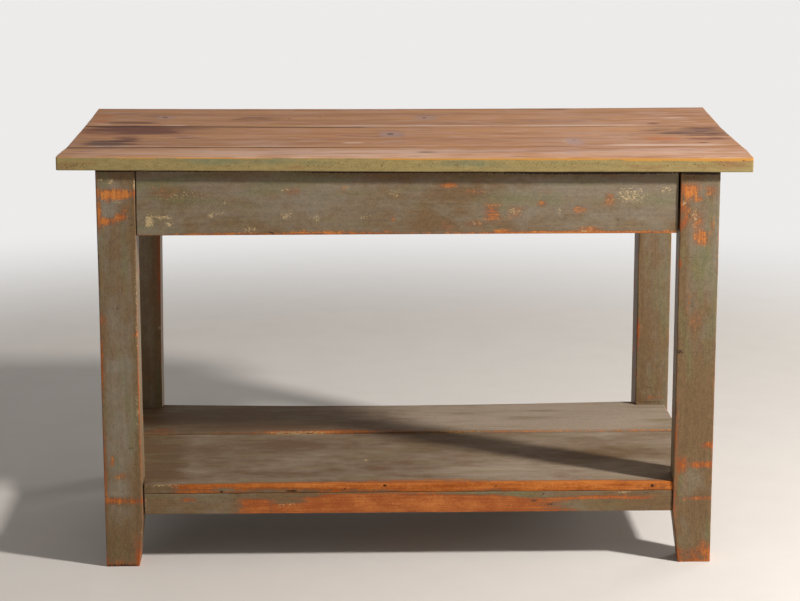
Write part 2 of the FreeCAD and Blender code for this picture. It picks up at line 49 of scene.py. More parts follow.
def cornerNoise(places, seed):  # random numbers at whole-number corners, blended between them, -1 to 1
    table = np.random.default_rng(seed).uniform(-1, 1, 4096)
    cell = np.floor(places).astype(int)
    share = places - cell
    share = share * share * (3 - 2 * share)
    total = np.zeros(len(places))
    for corner in itertools.product((0, 1), repeat=3):
        weight = np.prod(np.where(corner, share, 1 - share), axis=1)
        total += weight * table[((cell + corner) @ (157, 2731, 911)) % 4096]
    return total


def cloud(places, cells, seed):  # two octaves of corner noise, at so many cells per metre
    places = places * cells
    return (cornerNoise(places, seed) + 0.5 * cornerNoise(places * 2.1 + 7.3, seed + 1)) / 1.5


def rise(values, low, high):  # 0 below low, 1 above high, smooth between
    share = np.clip((values - low) / (high - low), 0, 1)
    return share * share * (3 - 2 * share)


rim = np.array((0, 0.0008, 0.0017, 0.0028, 0.0043))  # lattice planes close to an arris
rimDepth = 0.0063


def planes(low, high, step):  # planes across a board: close together at both faces, then even steps
    count = max(1, round((high - low - 2 * rimDepth) / step))
    middle = np.linspace(low + rimDepth, high - rimDepth, count + 1)
    return np.concatenate([low + rim, middle, (high - rim)[::-1]])


def blockLattice(low, high, steps, cuts=None):  # a box's skin cut by three sets of planes
    lines = [planes(*limits) for limits in zip(low, high, steps)]
    for axis, extra in (cuts or {}).items():
        lines[axis] = np.union1d(lines[axis], extra)
    counts = [len(line) for line in lines]
    index = np.arange(np.prod(counts)).reshape(counts)
    quads = []
    for axis in range(3):
        for end in (0, -1):
            side = np.take(index, end, axis=axis)
            ring = [side[:-1, :-1], side[1:, :-1], side[1:, 1:], side[:-1, 1:]]
            outwards = (end == 0) == (axis == 1)
            quads.append(np.stack(ring if outwards else ring[::-1], axis=-1).reshape(-1, 4))
    used, quads = np.unique(np.concatenate(quads), return_inverse=True)
    points = np.stack(np.meshgrid(*lines, indexing="ij"), axis=-1).reshape(-1, 3)[used]
    return points, quads.reshape(-1, 4)


def roundArrises(points, low, high, radius):  # onto a ball about the nearest point of the shrunk box
    radius = radius[:, None]
    inner = np.clip(points, low + radius, high - radius)
    out = points - inner
    return inner + out / np.linalg.norm(out, axis=1)[:, None] * radius


def softBlock(low, high, look, seed):  # a block lattice whose arrises are rounded by a radius that wanders
    block, quads = blockLattice(low, high, look["steps"], look.get("cuts"))
    (cells, share), (fineCells, fineShare) = look["wander"]
    radius = 1 + share * cloud(block, cells, seed) + fineShare * cloud(block, fineCells, seed + 5)
    radius = np.clip(look["radius"] * radius, look["leastRadius"], rimDepth)
    return block, quads, roundArrises(block, low, high, radius)


def faceDistance(points, low, high, key):  # how far inside the face named by an axis letter and 0 or 1
    axis, end = "xyz".index(key[0]), int(key[1])
    return high[axis] - points[:, axis] if end else points[:, axis] - low[axis]


def arrisWear(points, low, high, arrises):  # 1 on an arris, falling off as a bell over its reach
    field = np.zeros(len(points))
    for key, (reach, strength) in arrises.items():
        away = np.hypot(faceDistance(points, low, high, key[:2]), faceDistance(points, low, high, key[2:]))
        field = np.maximum(field, strength * percent * np.exp(-(away / (reach * mm)) ** 2))
    return field


def blots(points, axis, level, marks, depth=0.009):  # ovals on a face: half as strong at the rim
    across = [other for other in range(3) if other != axis]
    raised, lowered = np.zeros((2, len(points)))
    for *oval, strength in marks:
        middle, half = np.reshape(oval, (2, 2)) * mm
        mark = strength * percent * 0.5 ** (np.abs((points[:, across] - middle) / half) ** 3).sum(axis=1)
        raised, lowered = np.maximum(raised, mark), np.minimum(lowered, mark)
    return (raised + lowered) * np.exp(-((points[:, axis] - level) / depth) ** 2)


def scatter(corner, far, seed, count, sizes, strengths):  # random marks between two corners of a face
    rng = np.random.default_rng(seed)
    places = rng.uniform(corner, far, (count, 2)) / mm
    halves = rng.uniform(*sizes, (count, 2))
    return np.column_stack([places, halves, rng.uniform(*strengths, count)]).tolist()


def makeMesh(name, points, faces, fields):  # faces holds one array of corners for each kind of face
    corners = np.concatenate([kind.ravel() for kind in faces])
    counts = np.concatenate([np.full(len(kind), kind.shape[1]) for kind in faces])
    mesh = bpy.data.meshes.new(name)
    mesh.vertices.add(len(points))
    mesh.vertices.foreach_set("co", points.astype(np.float32).ravel())
    mesh.loops.add(len(corners))
    mesh.loops.foreach_set("vertex_index", corners.astype(np.int32))
    mesh.polygons.add(len(counts))
    mesh.polygons.foreach_set("loop_start", (np.cumsum(counts) - counts).astype(np.int32))
    mesh.update(calc_edges=True)
    mesh.validate()
    mesh.shade_smooth()
    for key, values in fields.items():
        isVector = values.ndim == 2
        kind, slotName = ("FLOAT_VECTOR", "vector") if isVector else ("FLOAT", "value")
        attribute = mesh.attributes.new(key, kind, "POINT")
        attribute.data.foreach_set(slotName, values.astype(np.float32).ravel())
    return mesh


def makePiece(name, points, faces, fields, finish, body, nodes):
    mesh = makeMesh(name, points, faces, fields)
    mesh.materials.append(finish)
    piece = bpy.data.objects.new(name, mesh)
    bpy.context.scene.collection.objects.link(piece)
    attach(piece, body)
    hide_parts(*nodes)
    return piece


grainOrders = {"x": (0, 1, 2), "y": (1, 0, 2), "z": (2, 0, 1)}


def grainField(points, direction, seed):  # position with the grain first, shifted so that no two boards match
    shift = np.random.default_rng(seed).uniform(-9, 9, 3)
    return points[:, grainOrders[direction]] + shift


def palette(**colours):  # each colour is given on the 0 to 255 scale, and comes back linear
    def linear(channel):
        return channel / 255 / 12.92 if channel <= 10 else ((channel / 255 + 0.055) / 1.055) ** 2.4
    return {name: (*map(linear, colour), 1.0) for name, colour in colours.items()}


class Term:  # a socket that takes part in sums with other terms and plain numbers
    def __init__(self, sheet, socket):
        self.sheet, self.socket = sheet, socket

    def math(self, operation, first, second=0.0):
        return self.sheet.add("Math", {"operation": operation}, {0: first, 1: second})

    def __add__(self, other):
        return self.math("ADD", self, other)

    def __sub__(self, other):
        return self.math("SUBTRACT", self, other)

    def __rsub__(self, other):
        return self.math("SUBTRACT", other, self)

    def __mul__(self, other):
        return self.math("MULTIPLY", self, other)

    __radd__ = __add__
    __rmul__ = __mul__

    def __abs__(self):
        return self.math("ABSOLUTE", self)

    def larger(self, other):
        return self.math("MAXIMUM", self, other)

    def smaller(self, other):
        return self.math("MINIMUM", self, other)

    def rise(self, low, high):  # 0 below low, 1 above high, smooth between
        sockets = {"Value": self, "From Min": low, "From Max": high}
        return self.sheet.add("MapRange", {"interpolation_type": "SMOOTHSTEP"}, sockets)


class Sheet:  # the node sheet of one material or world
    def __init__(self, owner):
        owner.use_nodes = True
        self.owner, self.tree = owner, owner.node_tree
        self.tree.nodes.clear()

    def add(self, kind, settings=None, sockets=None, output=0):
        node = self.tree.nodes.new("ShaderNode" + kind)
        for key, value in (settings or {}).items():
            setattr(node, key, value)
        for key, value in (sockets or {}).items():
            if isinstance(value, Term):
                self.tree.links.new(value.socket, node.inputs[key])
            else:
                node.inputs[key].default_value = value
        return Term(self, node.outputs[output]) if node.outputs else None

    def attribute(self, name, output="Fac"):
        return self.add("Attribute", {"attribute_name": name}, output=output)

    def place(self):
        return self.add("TexCoord", output="Object")

    def noise(self, places, along, across, detail=3.0, roughness=0.55):  # cells per metre; -1 to 1
        stretched = self.add("VectorMath", {"operation": "MULTIPLY"}, {0: places, 1: (along, across, across)})
        sockets = {"Vector": stretched, "Scale": 1.0, "Detail": detail, "Roughness": roughness}
        return (self.add("TexNoise", None, sockets) - 0.5) * 4.0

    def mix(self, factor, first, second, blend="MIX"):
        settings = {"data_type": "RGBA", "blend_type": blend}
        return self.add("Mix", settings, {0: factor, 6: first, 7: second}, output=2)

    def shade(self, colour, tone, spread):  # darker or lighter by up to spread, as tone goes -1 to 1
        dark, light = ((*[1 + sign * spread] * 3, 1.0) for sign in (-1, 1))
        return self.mix(1.0, colour, self.mix(tone.rise(-1.0, 1.0), dark, light), "MULTIPLY")

    def shader(self, colour, roughness, height, depth, fixed=None):  # depth: of the relief, in metres
        bump = self.add("Bump", None, {"Height": height, "Distance": depth, "Strength": 1.0})
        sockets = {"Base Color": colour, "Roughness": roughness, "Normal": bump}
        return self.add("BsdfPrincipled", None, {**sockets, **(fixed or {})})

    def finish(self, *parts):
        self.add("OutputMaterial", None, {"Surface": self.shader(*parts)})
        return self.owner


def newSheet(name):
    return Sheet(bpy.data.materials.new(name))


pineLook = {
    **palette(light=(206, 170, 122), dark=(170, 124, 78), old=(140, 106, 72)),
    "roughness": 0.62, "relief": 0.0004,
}

paintLook = {
    **palette(
        grey=(122, 110, 93), brown=(104, 81, 54), olive=(101, 98, 64), rust=(122, 82, 56),
        ground=(178, 106, 50), deepGround=(136, 68, 27), paleGround=(208, 148, 74),
        # dirt: dark brown, for real dirt and for painted shade
        chip=(180, 155, 113), dirt=(42, 30, 21),
    ),
    "roughness": 0.52, "relief": 0.0006, "specular": 0.2, "contrast": 0.20, "patches": 1.0,
}
shelfPaintLook = {
    **paintLook, **palette(grey=(146, 130, 112), brown=(97, 75, 53), olive=(112, 98, 70), rust=(124, 80, 52)),
    "roughness": 0.6, "specular": 0.03, "contrast": 0.13, "patches": 0.7,
}


def paintedFinish(name, look, source):  # paint on an orange ground coat, worn where field and noise say
    sheet = newSheet(name)
    field = source(sheet)
    grain = field["grain"]
    broad = sheet.noise(grain, 5, 13)
    blotch = sheet.noise(grain, 26, 46, 4, 0.6)
    mottle = sheet.noise(grain, 90, 150, 4, 0.65)
    streak = sheet.noise(grain, 9, 230, 4, 0.6)
    fine = sheet.noise(grain, 300, 430, 4, 0.7)
    speck = sheet.noise(grain, 330, 390, 1)
    fleck = sheet.noise(grain, 70, 330, 2)
    wave = sheet.noise(grain, 8, 42)
    ridge = (1 - abs(sheet.noise(grain, 150, 200)) * 4).larger(0)  # thin wandering lines
    broken = (field["bare"] * 1.5 + 0.62).smaller(1)  # wear breaks up its own edge
    level = field["bare"] + (streak * 0.22 + mottle * 0.28 + fine * 0.42 + blotch * 0.12) * broken
    bare = level.rise(0.38, 0.74)
    thin = (field["bare"] + blotch * 0.16 + mottle * 0.14).rise(0.06, 0.50)
    chip = (field["cream"] + field["bare"] * 0.12 + ridge * 0.34 + speck * 0.32).rise(0.62, 0.86)
    # the dirt mask takes real dirt and painted shade: the grime marks under the top and on one leg arris are
    # painted shadow
    dirt = (field["grime"] + speck * 0.22 + streak * 0.08 + fine * 0.1).rise(0.45, 0.75)
    patches = (broad * 0.9 + blotch * 0.65) * look["patches"]
    paint = sheet.mix((patches + field["tint"]).rise(-1.0, 1.1), look["grey"], look["brown"])
    paint = sheet.mix((wave * 1.1 - broad * 0.6 + mottle * 0.3).rise(-0.2, 1.3) * 0.7, paint, look["olive"])
    paint = sheet.mix(thin * 0.6, paint, look["rust"])
    paint = sheet.shade(paint, mottle * 0.7 + streak * 0.4 + fine * 0.9 + blotch * 0.3, look["contrast"])
    ground = (streak * 0.5 + blotch * 0.45 + fine * 0.3 - field["tint"] * 0.6 + level - 0.75).rise(-1.1, 0.9)
    ground = sheet.mix(ground, look["deepGround"], look["ground"])
    pale = (fine * 0.7 + streak * 0.7 + mottle * 0.3 - field["tint"] * 0.4).rise(0.1, 1.4)
    ground = sheet.mix(pale * 0.7, ground, look["paleGround"])
    colour = sheet.mix(bare, paint, ground)
    colour = sheet.mix(chip * 0.8, colour, look["chip"])
    if "raw" in field:
        pine = sheet.mix((streak + blotch).rise(-1, 1), pineLook["light"], pineLook["dark"])
        colour = sheet.mix(field["raw"], colour, pine)
    pits = (speck + fine * 0.4).rise(1.05, 1.40).larger((fleck + field["grime"] * 0.5).rise(0.88, 1.15))
    colour = sheet.mix(dirt.larger(pits * 0.6), colour, look["dirt"])
    height = (1 - bare) * 0.3 + streak * 0.06 + fine * 0.06 + mottle * 0.08 + chip * 0.15 - pits * 0.3
    roughness = bare * 0.1 + chip * 0.15 + mottle * 0.05 + look["roughness"]
    return sheet.finish(colour, roughness, height, look["relief"], {"Specular IOR Level": look["specular"]})


def paintFields(sheet):  # the fields that the lattice pieces carry
    fields = {key: sheet.attribute(key) for key in ("bare", "cream", "grime", "tint")}
    return {"grain": sheet.attribute("grain", "Vector"), **fields}


boardLook = {
    **palette(
        tan=(180, 131, 91), pink=(188, 150, 134), brown=(150, 106, 76), dark=(96, 60, 44),
        pale=(206, 174, 154), purple=(82, 40, 34), slate=(64, 46, 44), warm=(172, 98, 56), knot=(66, 42, 36),
        knotHalo=(160, 130, 120), dirt=(44, 26, 18), edgePaint=(143, 125, 82), edgeBrown=(136, 102, 70),
        edgeGrey=(120, 117, 86), edgeGround=(181, 130, 64),
    ),
    "stainsAndSheen": {  # what streak, wisp, blotch and band add to it, its start and its strength; pale is partly painted sheen
        "pale": (0.2, 0.12, 0, 0.12, 0.2, 0.8), "warm": (0.4, 0.3, 0, 0, 0.25, 0.75),
        "purple": (0.45, 0.4, 0.3, 0, 0.2, 0.85), "slate": (0.4, 0.4, 0.2, 0, 0.2, 0.8),
    },
    "roughness": 0.62, "relief": 0.0006, "specular": 0.03,
}


def scrubbedFinish(name, look):  # bare boards with streaks, stains, knots and painted edges
    sheet = newSheet(name)
    grain = sheet.attribute("grain", "Vector")
    band = sheet.noise(grain, 1.2, 18)
    streak = sheet.noise(grain, 4, 70, 4, 0.6)
    line = sheet.noise(grain, 8, 260)
    blotch = sheet.noise(grain, 9, 26)
    wisp = sheet.noise(grain, 13, 62)
    mottle = sheet.noise(grain, 60, 150, 4, 0.65)
    fine = sheet.noise(grain, 240, 420, 3, 0.7)
    speck = sheet.noise(grain, 420, 420, 1)
    wood = sheet.mix((band * 0.9 + streak * 0.7 + blotch * 0.3).rise(-1.0, 1.0), look["brown"], look["tan"])
    wood = sheet.mix((wisp + blotch * 0.6 - streak * 0.5).rise(-0.2, 1.1) * 0.6, wood, look["pink"])
    wood = sheet.mix((streak * 0.9 + wisp * 0.5 - band * 0.3).rise(0.3, 1.5) * 0.5, wood, look["dark"])
    wood = sheet.mix((line + fine * 0.4).rise(0.3, 1.7) * 0.3, wood, look["dark"])
    for key, (alongStreak, inWisp, inBlotch, offBand, low, strength) in look["stainsAndSheen"].items():
        torn = streak * alongStreak + wisp * inWisp + blotch * inBlotch - band * offBand
        wood = sheet.mix((sheet.attribute(key) + torn).rise(low, 1.0) * strength, wood, look[key])
    halo = sheet.attribute("halo").rise(0.25, 0.75)
    wood = sheet.mix(halo * 0.7, wood, look["knotHalo"])
    knot = (sheet.attribute("knot") + fine * 0.05).rise(0.4, 0.7)
    wood = sheet.mix(knot * 0.65, wood, look["knot"])
    paintHere = (sheet.attribute("paint") + streak * 0.12 + fine * 0.10).rise(0.44, 0.56)
    brown = (sheet.attribute("edgeBrown") + blotch * 0.7 + wisp * 0.3 + fine * 0.1).rise(0.25, 1.1)
    edge = sheet.mix(brown, look["edgePaint"], look["edgeBrown"])
    grey = (sheet.attribute("edgeGrey") - blotch * 0.6 + streak * 0.3).rise(0.3, 1.0)
    edge = sheet.mix(grey * 0.85, edge, look["edgeGrey"])
    edge = sheet.shade(edge, mottle * 0.7 + fine * 0.7, 0.16)
    ground = (sheet.attribute("bare") + streak * 0.14 + fine * 0.16 + mottle * 0.1).rise(0.42, 0.58)
    edge = sheet.mix(ground, edge, look["edgeGround"])
    specks = (sheet.attribute("specks") * 1.3 + speck + fine * 0.3).rise(1.15, 1.6)
    edge = sheet.mix(specks * 0.8, edge, look["dirt"])
    colour = sheet.mix(paintHere, wood, edge)
    dirt = (sheet.attribute("grime") + fine * 0.08 + streak * 0.08).rise(0.25, 0.9)
    colour = sheet.mix(dirt, colour, look["dirt"])
    height = streak * 0.16 + line * 0.12 + fine * 0.05 + paintHere * 0.3 - knot * 0.2
    roughness = mottle * 0.04 - streak * 0.03 + paintHere * 0.06 + look["roughness"]
    return sheet.finish(colour, roughness, height, look["relief"], {"Specular IOR Level": look["specular"]})


def barePineFinish(name, look, direction):  # dry pine with its grain along one axis
    sheet = newSheet(name)
    turned = {"x": (0, 0, 0), "y": (0, 0, -pi / 2)}[direction]
    grain = sheet.add("Mapping", None, {"Vector": sheet.place(), "Rotation": turned})
    wobble = sheet.noise(grain, 1.5, 9, 2)
    streak = sheet.noise(grain, 5, 120, 4)
    fine = sheet.noise(grain, 60, 500, 3, 0.7)
    rings = (sheet.noise(grain, 0.8, 30, 1) + wobble * 0.5).rise(-0.8, 0.9)
    colour = sheet.mix(rings, look["light"], look["dark"])
    colour = sheet.mix((streak + fine * 0.4).rise(0.0, 1.6) * 0.6, colour, look["dark"])
    colour = sheet.mix(wobble.rise(-0.3, 1.3) * 0.45, colour, look["old"])
    height = streak * 0.3 + fine * 0.12
    roughness = fine * 0.05 + look["roughness"]
    return sheet.finish(colour, roughness, height, look["relief"], {"Specular IOR Level": 0.3})


ironLook = {**palette(metal=(62, 52, 46), rust=(104, 62, 40)), "roughness": 0.62, "relief": 0.0003}


def ironFinish(name, look):  # dull forged iron with rust in clouds
    sheet = newSheet(name)
    cloudy = sheet.noise(sheet.place(), 260, 260, 4, 0.7)
    colour = sheet.mix(cloudy.rise(-0.4, 0.9), look["metal"], look["rust"])
    roughness = cloudy * 0.12 + look["roughness"]
    return sheet.finish(colour, roughness, cloudy * 0.5, look["relief"], {"Metallic": 0.35})


painted = paintedFinish("painted_pine", paintLook, paintFields)
shelfPaint = paintedFinish("painted_shelf", shelfPaintLook, paintFields)
scrubbed = scrubbedFinish("scrubbed_pine", boardLook)
barePine = {axis: barePineFinish("bare_pine_" + axis, pineLook, axis) for axis in "xy"}
iron = ironFinish("iron", ironLook)
print("finishes made")


def seedOf(name):
    return sum((place + 1) * ord(letter) for place, letter in enumerate(name))


faceKeys = ("x0", "x1", "y0", "y1", "z0", "z1")
allArrises = [one + other for one, other in itertools.combinations(faceKeys, 2) if one[0] != other[0]]
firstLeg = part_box("leg_front_left")[1]
legInner = [(firstLeg.x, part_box("leg_front_right")[0].x), (firstLeg.y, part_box("leg_back_left")[0].y)]
paintedWander = {"wander": ((14, 0.6), (60, 0.5)), "leastRadius": 0.0005}
jointGap = 0.0009
restGap = 0.0004  # under what rests on a rail


def paintedBoard(name, low, high, direction, look, marks, finish=painted, shape=None):
    # a softened block that shape bends, with its wear, dirt and marks
    seed = seedOf(name)
    block, quads, points = softBlock(low, high, {**paintedWander, **look}, seed)
    if shape:
        points = shape(points, block, (block - low) / (high - low))
    wear = arrisWear(block, low, high, {**dict.fromkeys(allArrises, look["arris"]), **look["arrises"]})
    wear = wear * (0.68 + 0.6 * cloud(points, 9, seed + 2) + 0.3 * cloud(points, 45, seed + 4))
    zero = np.zeros(len(points))
    fields = {"bare": wear, "cream": zero, "grime": zero, "tint": 0.35 * cloud(points, 4, seed + 3)}
    for key in look.get("joints", ()):  # dirt gathers where an end meets a leg
        gathered = 1.2 * np.exp(-(faceDistance(block, low, high, key) / look["jointReach"]) ** 2)
        fields["grime"] = np.maximum(fields["grime"], gathered)
    for key, faces in marks.items():
        for face in faces:  # axis, level and marks
            fields[key] = fields[key] + blots(points, *face)
    fields["grain"] = grainField(block, direction, seed)
    return makePiece(name, points, [quads], fields, finish, "table", [name])


legLook = {
    "radius": 0.0022, "steps": (0.004, 0.004, 0.004), "footHeight": 0.097, "footTaper": 0.012,
    "arris": (4, 70), "arrises": {"x1y1": (4, 50), "x0y1": (4, 50)},
    # innerTintAndShade browns each leg's inner face; on the right legs, turned away from the key lamp, it is
    # painted shade
    "innerTintAndShade": (350, 80, 450, 120), "footWear": (15, 40, 14, 60),
    "clear": 0.03,  # no random marks so near the top
    "random": {  # on all faces but the front: count, sizes and strengths
        "bare": (9, ((3, 4), (14, 14)), (40, 95)),
        "grime": (9, ((2, 2), (7, 4)), (40, 90)),
        "cream": (4, ((2, 3), (8, 8)), (40, 80)),
    },
    "bends": {  # mm: heights, and how far the inner and the outer face stand off there
        "front_left": ((0, 97, 300, 500, 752), (7, 4, 1.4, 0.6, 0.8), (2.7, 1.8, 0.6, 0, -1.6)),
        "back_left": ((0, 300, 520, 752), (0, 0.8, 2.8, 3), (0, 0, 0, 0)),
        "front_right": ((0, 752), (-4, -4), (0, 0)),
    },
    "skewed": "front_right",  # it bends at the front alone
}
legWear = {}
legWear["front_left"] = {
    "arrises": {"x0y0": (3.4, 38), "x1y0": (3, 32)},
    "bare": [
        (-543, 706, 30, 9.3, 100), (-508, 707, 4.8, 7.4, 62), (-570, 670, 4.5, 27.7, 72),
        (-556, 657, 18, 6.8, 85), (-531, 664, 12, 6.8, 78), (-524, 674, 4.5, 8, 55),
        (-552, 695, 4.5, 6.4, 60), (-572, 393, 3.5, 40, 60), (-566, 472, 6.5, 10, 50),
        (-571, 190, 4.5, 80, 46), (-556, 205, 4, 10, 65), (-542, 176, 11, 8, 50), (-553, 128, 22, 6, 85),
        (-520, 127, 20, 5.5, 68), (-512, 30, 7.5, 36, 48), (-503.5, 320, 3, 120, 38), (-545, 6, 30, 8, 34)
    ],
    "cream": [(-564, 733, 5.5, 2.6, 90), (-549, 729, 7.5, 7.3, 75), (-535, 693, 7.8, 4.4, 66),
              (-505, 725, 3, 11, 70), (-506, 500, 3, 150, 42), (-508, 300, 3, 40, 50)],
    # grime: (-573.5, 570) is painted shade along the outer arris, (-541, 751) painted shadow under the top;
    # the rest is dirt
    "grime": [
        (-554, 728, 5.4, 5.5, 50), (-513, 662, 4.5, 3, 66), (-512, 650, 4.5, 2, 66), (-541, 495, 8, 3, 70),
        (-515, 229, 6, 3, 60), (-514, 199, 6, 3, 60), (-515, 128, 10, 4, 60), (-530, 39, 12, 14, 50),
        (-573.5, 570, 2.2, 80, 55), (-545, 2, 40, 4, 70), (-524, 229, 5, 4, 60), (-541, 751, 45, 3, 160)
    ],
    # tint: (-540, 743) is painted shade under the top
    "tint": [(-542, 20, 40, 50, 110), (-540, 386, 18, 10, -90), (-545, 706, 36, 14, -100),
             (-552, 150, 22, 16, -90), (-556, 676, 14, 18, -100), (-545, 128, 35, 7, 60),
             (-572, 250, 6, 200, 90), (-540, 743, 50, 10, 80)],
}
legWear["front_right"] = {
    "arrises": {"x0y0": (3.6, 38), "x1y0": (2.8, 34)},
    "bare": [
        (510, 709, 17.5, 13.4, 76), (524, 694, 10.1, 5.1, 66), (499, 681, 7, 14.9, 60),
        (506, 670, 4.5, 20.4, 52), (533, 623, 13.5, 14.9, 74), (527, 653, 12, 16.8, 50),
        (548, 711, 12, 11, 46), (553, 644, 2.8, 13, 50), (496, 573, 3.2, 7.5, 60), (528, 471, 12, 18, 32),
        (512, 500, 4, 22, 44), (557, 228, 12, 6, 85), (547, 190, 24, 6, 84), (507, 190, 10.5, 17, 74),
        (543, 125, 30, 3.5, 72), (498, 200, 4, 110, 42), (530, 15, 32, 14, 56), (553, 24, 10, 20, 56)
    ],
    "cream": [(499, 686, 5.5, 6.5, 55), (519, 660, 9.2, 21.4, 50), (557, 651, 2.8, 4.7, 70),
              (549, 572, 3.7, 4.7, 55)],
    # grime: (532, 745) and (532, 734.5) are painted shadow under the top; the rest is dirt
    "grime": [(548, 697, 2.5, 2.5, 80), (514, 586, 5, 3, 60), (519, 497, 3, 9, 66), (532, 406, 26, 1.8, 50),
              (541, 36, 4, 3, 66), (530, 15, 30, 20, 46), (532, 745, 45, 4, 160), (532, 734.5, 42, 4.5, 42)],
    # tint: (532, 742) is painted shade under the top
    "tint": [(530, 20, 40, 30, 70), (530, 160, 22, 20, -50), (512, 705, 22, 20, -65),
             (533, 625, 18, 30, -80), (534, 400, 60, 330, 90), (532, 742, 50, 12, 110)],
}
legWear["back_left"] = {
    "arrises": {"x0y0": (3.5, 40), "x1y0": (4, 42)},
    "bare": [(-508, 480, 5.5, 170, 44)],
    "tint": [(-508, 450, 10, 250, 130)],
}
legWear["back_right"] = {
    "arrises": {"x0y0": (4, 42), "x1y0": (3.5, 42)},
    "bare": [(499, 318, 4, 30, 60), (535, 176, 18, 4, 50)],
    "grime": [(523, 198, 12, 3, 60), (530, 167, 34, 2, 70)],
    "tint": [(530, 400, 60, 400, 65)],
}


def wornFaces(name, low, high, look):  # random marks on a leg's other three faces
    seed, marks = seedOf(name) + 40, {key: [] for key in look["random"]}
    for axis, end in ((0, 0), (0, 1), (1, 1)):
        seed += 3
        level, other = (low, high)[end][axis], 1 - axis
        corner, far = (low[other], low[2]), (high[other], high[2] - look["clear"])
        for number, (key, settings) in enumerate(look["random"].items()):
            marks[key].append((axis, level, scatter(corner, far, seed + number, *settings)))
        marks["bare"].append((axis, level, [((low[other] + high[other]) / 2 / mm, *look["footWear"])]))
    return marks


def makeLeg(end, side, look):
    corner = ("front" if side < 0 else "back") + ("_left" if end < 0 else "_right")
    name, wear = "leg_" + corner, legWear[corner]
    low, high = np.array(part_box(name))

    def taper(points, block, share):  # the inner faces draw in at the foot; then the bend
        height = block[:, 2]
        drawn = look["footTaper"] * np.clip(1 - height / look["footHeight"], 0, 1)
        innerX = share[:, 0] if end < 0 else 1 - share[:, 0]
        innerY = share[:, 1] if side < 0 else 1 - share[:, 1]
        points = points.copy()
        points[:, 0] += end * drawn * innerX
        points[:, 1] += side * drawn * innerY
        if corner in look["bends"]:
            heights, inner, outer = np.array(look["bends"][corner]) * mm
            off = np.interp(height, heights, inner) * innerX
            off += np.interp(height, heights, outer) * (1 - innerX)
            points[:, 0] += off * (1 - innerY if corner == look["skewed"] else 1)
        return points

    marks = wornFaces(name, low, high, look)
    marks["tint"] = [(0, (high if end < 0 else low)[0], [(low[1] / mm, *look["innerTintAndShade"])])]
    for key, faces in marks.items():
        faces.append((1, low[1], wear.get(key, [])))
    look = {**look, "arrises": {**look["arrises"], **wear["arrises"]}}
    paintedBoard(name, low, high, "z", look, marks, shape=taper)


for side in (-1, 1):
    for end in (-1, 1):
        makeLeg(end, side, legLook)
print("legs made")

apronLook = {
    "radius": 0.0018, "steps": (0.004, 0.006, 0.004), "joints": ("x0", "x1"), "jointReach": 0.0012,
    "clear": 0.02, "frontEnds": (0.0014, -0.0065),
    "setBack": 0.0018, "lowered": 0.0009,  # the right end moves back, the left one down
    "arris": (3, 50), "arrises": {"y0z0": (4.2, 62), "y1z0": (4, 70), "x0y0": (2, 30), "x1y0": (2, 30)},
}
apronRandom = {"bare": (71, 14, ((4, 3), (25, 10)), (40, 90)), "cream": (72, 9, ((4, 3), (20, 8)), (40, 80))}
apronMarks = {
    "bare": [
        (67, 720, 15.1, 5, 60), (110, 709, 29.3, 4.8, 36), (147, 669, 15, 16.7, 60),
        (192, 670, 17.4, 13.5, 42), (203, 678, 13.8, 3.7, 46), (239, 686, 8.5, 6, 56),
        (242, 708, 14.7, 9.3, 30), (308, 675, 14.3, 5.9, 50), (363, 695, 9.2, 12, 48),
        (-455, 713, 30, 12, 24), (-125, 715, 8, 8, 28), (-34, 657, 3.5, 4.5, 62), (-134, 633, 113, 4, 42),
        (-218, 711, 13.7, 7.4, 42), (113, 648, 20.2, 5.9, 50), (67, 643, 12.8, 9.3, 36),
        (168, 634, 16.6, 4.2, 66), (325, 637, 23, 5.2, 62), (-197, 636, 3.7, 4.6, 50),
        (-340, 632, 80, 3, 42), (306, 632, 170, 3.5, 50)
    ],
    "cream": [
        (-480, 657, 8.7, 13.8, 86), (-454, 663, 18.2, 3.7, 78), (-445, 650, 9.1, 5.5, 68),
        (-368, 666, 6.8, 6, 66), (-349, 671, 11.8, 4.1, 60), (-366, 705, 4, 3.1, 62),
        (-340, 690, 3, 3.1, 80), (-298, 640, 12.4, 6, 60), (-229, 666, 12.2, 8, 62),
        (-176, 660, 11.9, 6.5, 56), (-231, 712, 9.1, 2.8, 56), (-32, 705, 18.3, 11.1, 45),
        (191, 672, 14.7, 10.2, 50), (403, 700, 28.5, 16.7, 60), (468, 711, 12.9, 8, 60),
        (273, 675, 3.9, 9.3, 60), (119, 649, 11.9, 3.7, 50), (317, 637, 14.7, 3.7, 60),
        (-418, 702, 50, 10, 38), (-120, 716, 7, 6, 50), (-127, 703, 11, 2.2, 62), (-83, 662, 13, 3, 60)
    ],
    # grime: the three long marks at 745 to 751 are painted shadow under the top's lip; the rest is dirt
    "grime": [(-32, 705, 18.3, 11.1, 42), (383, 656, 11.1, 6.1, 50), (-258, 633, 9.1, 3.7, 60),
              (165, 689, 7.3, 7.4, 40), (-340, 751, 180, 3.4, 160), (0, 748, 200, 3.6, 160),
              (340, 745, 180, 4, 160)],
    # tint: (0, 744) is painted shade under the top
    "tint": [(-442, 704, 40.9, 22.1, 110), (107, 706, 54.9, 12.9, 70), (-150, 680, 120, 40, -50),
             (330, 690, 150, 50, -60), (0, 744, 600, 9, 80)],
}


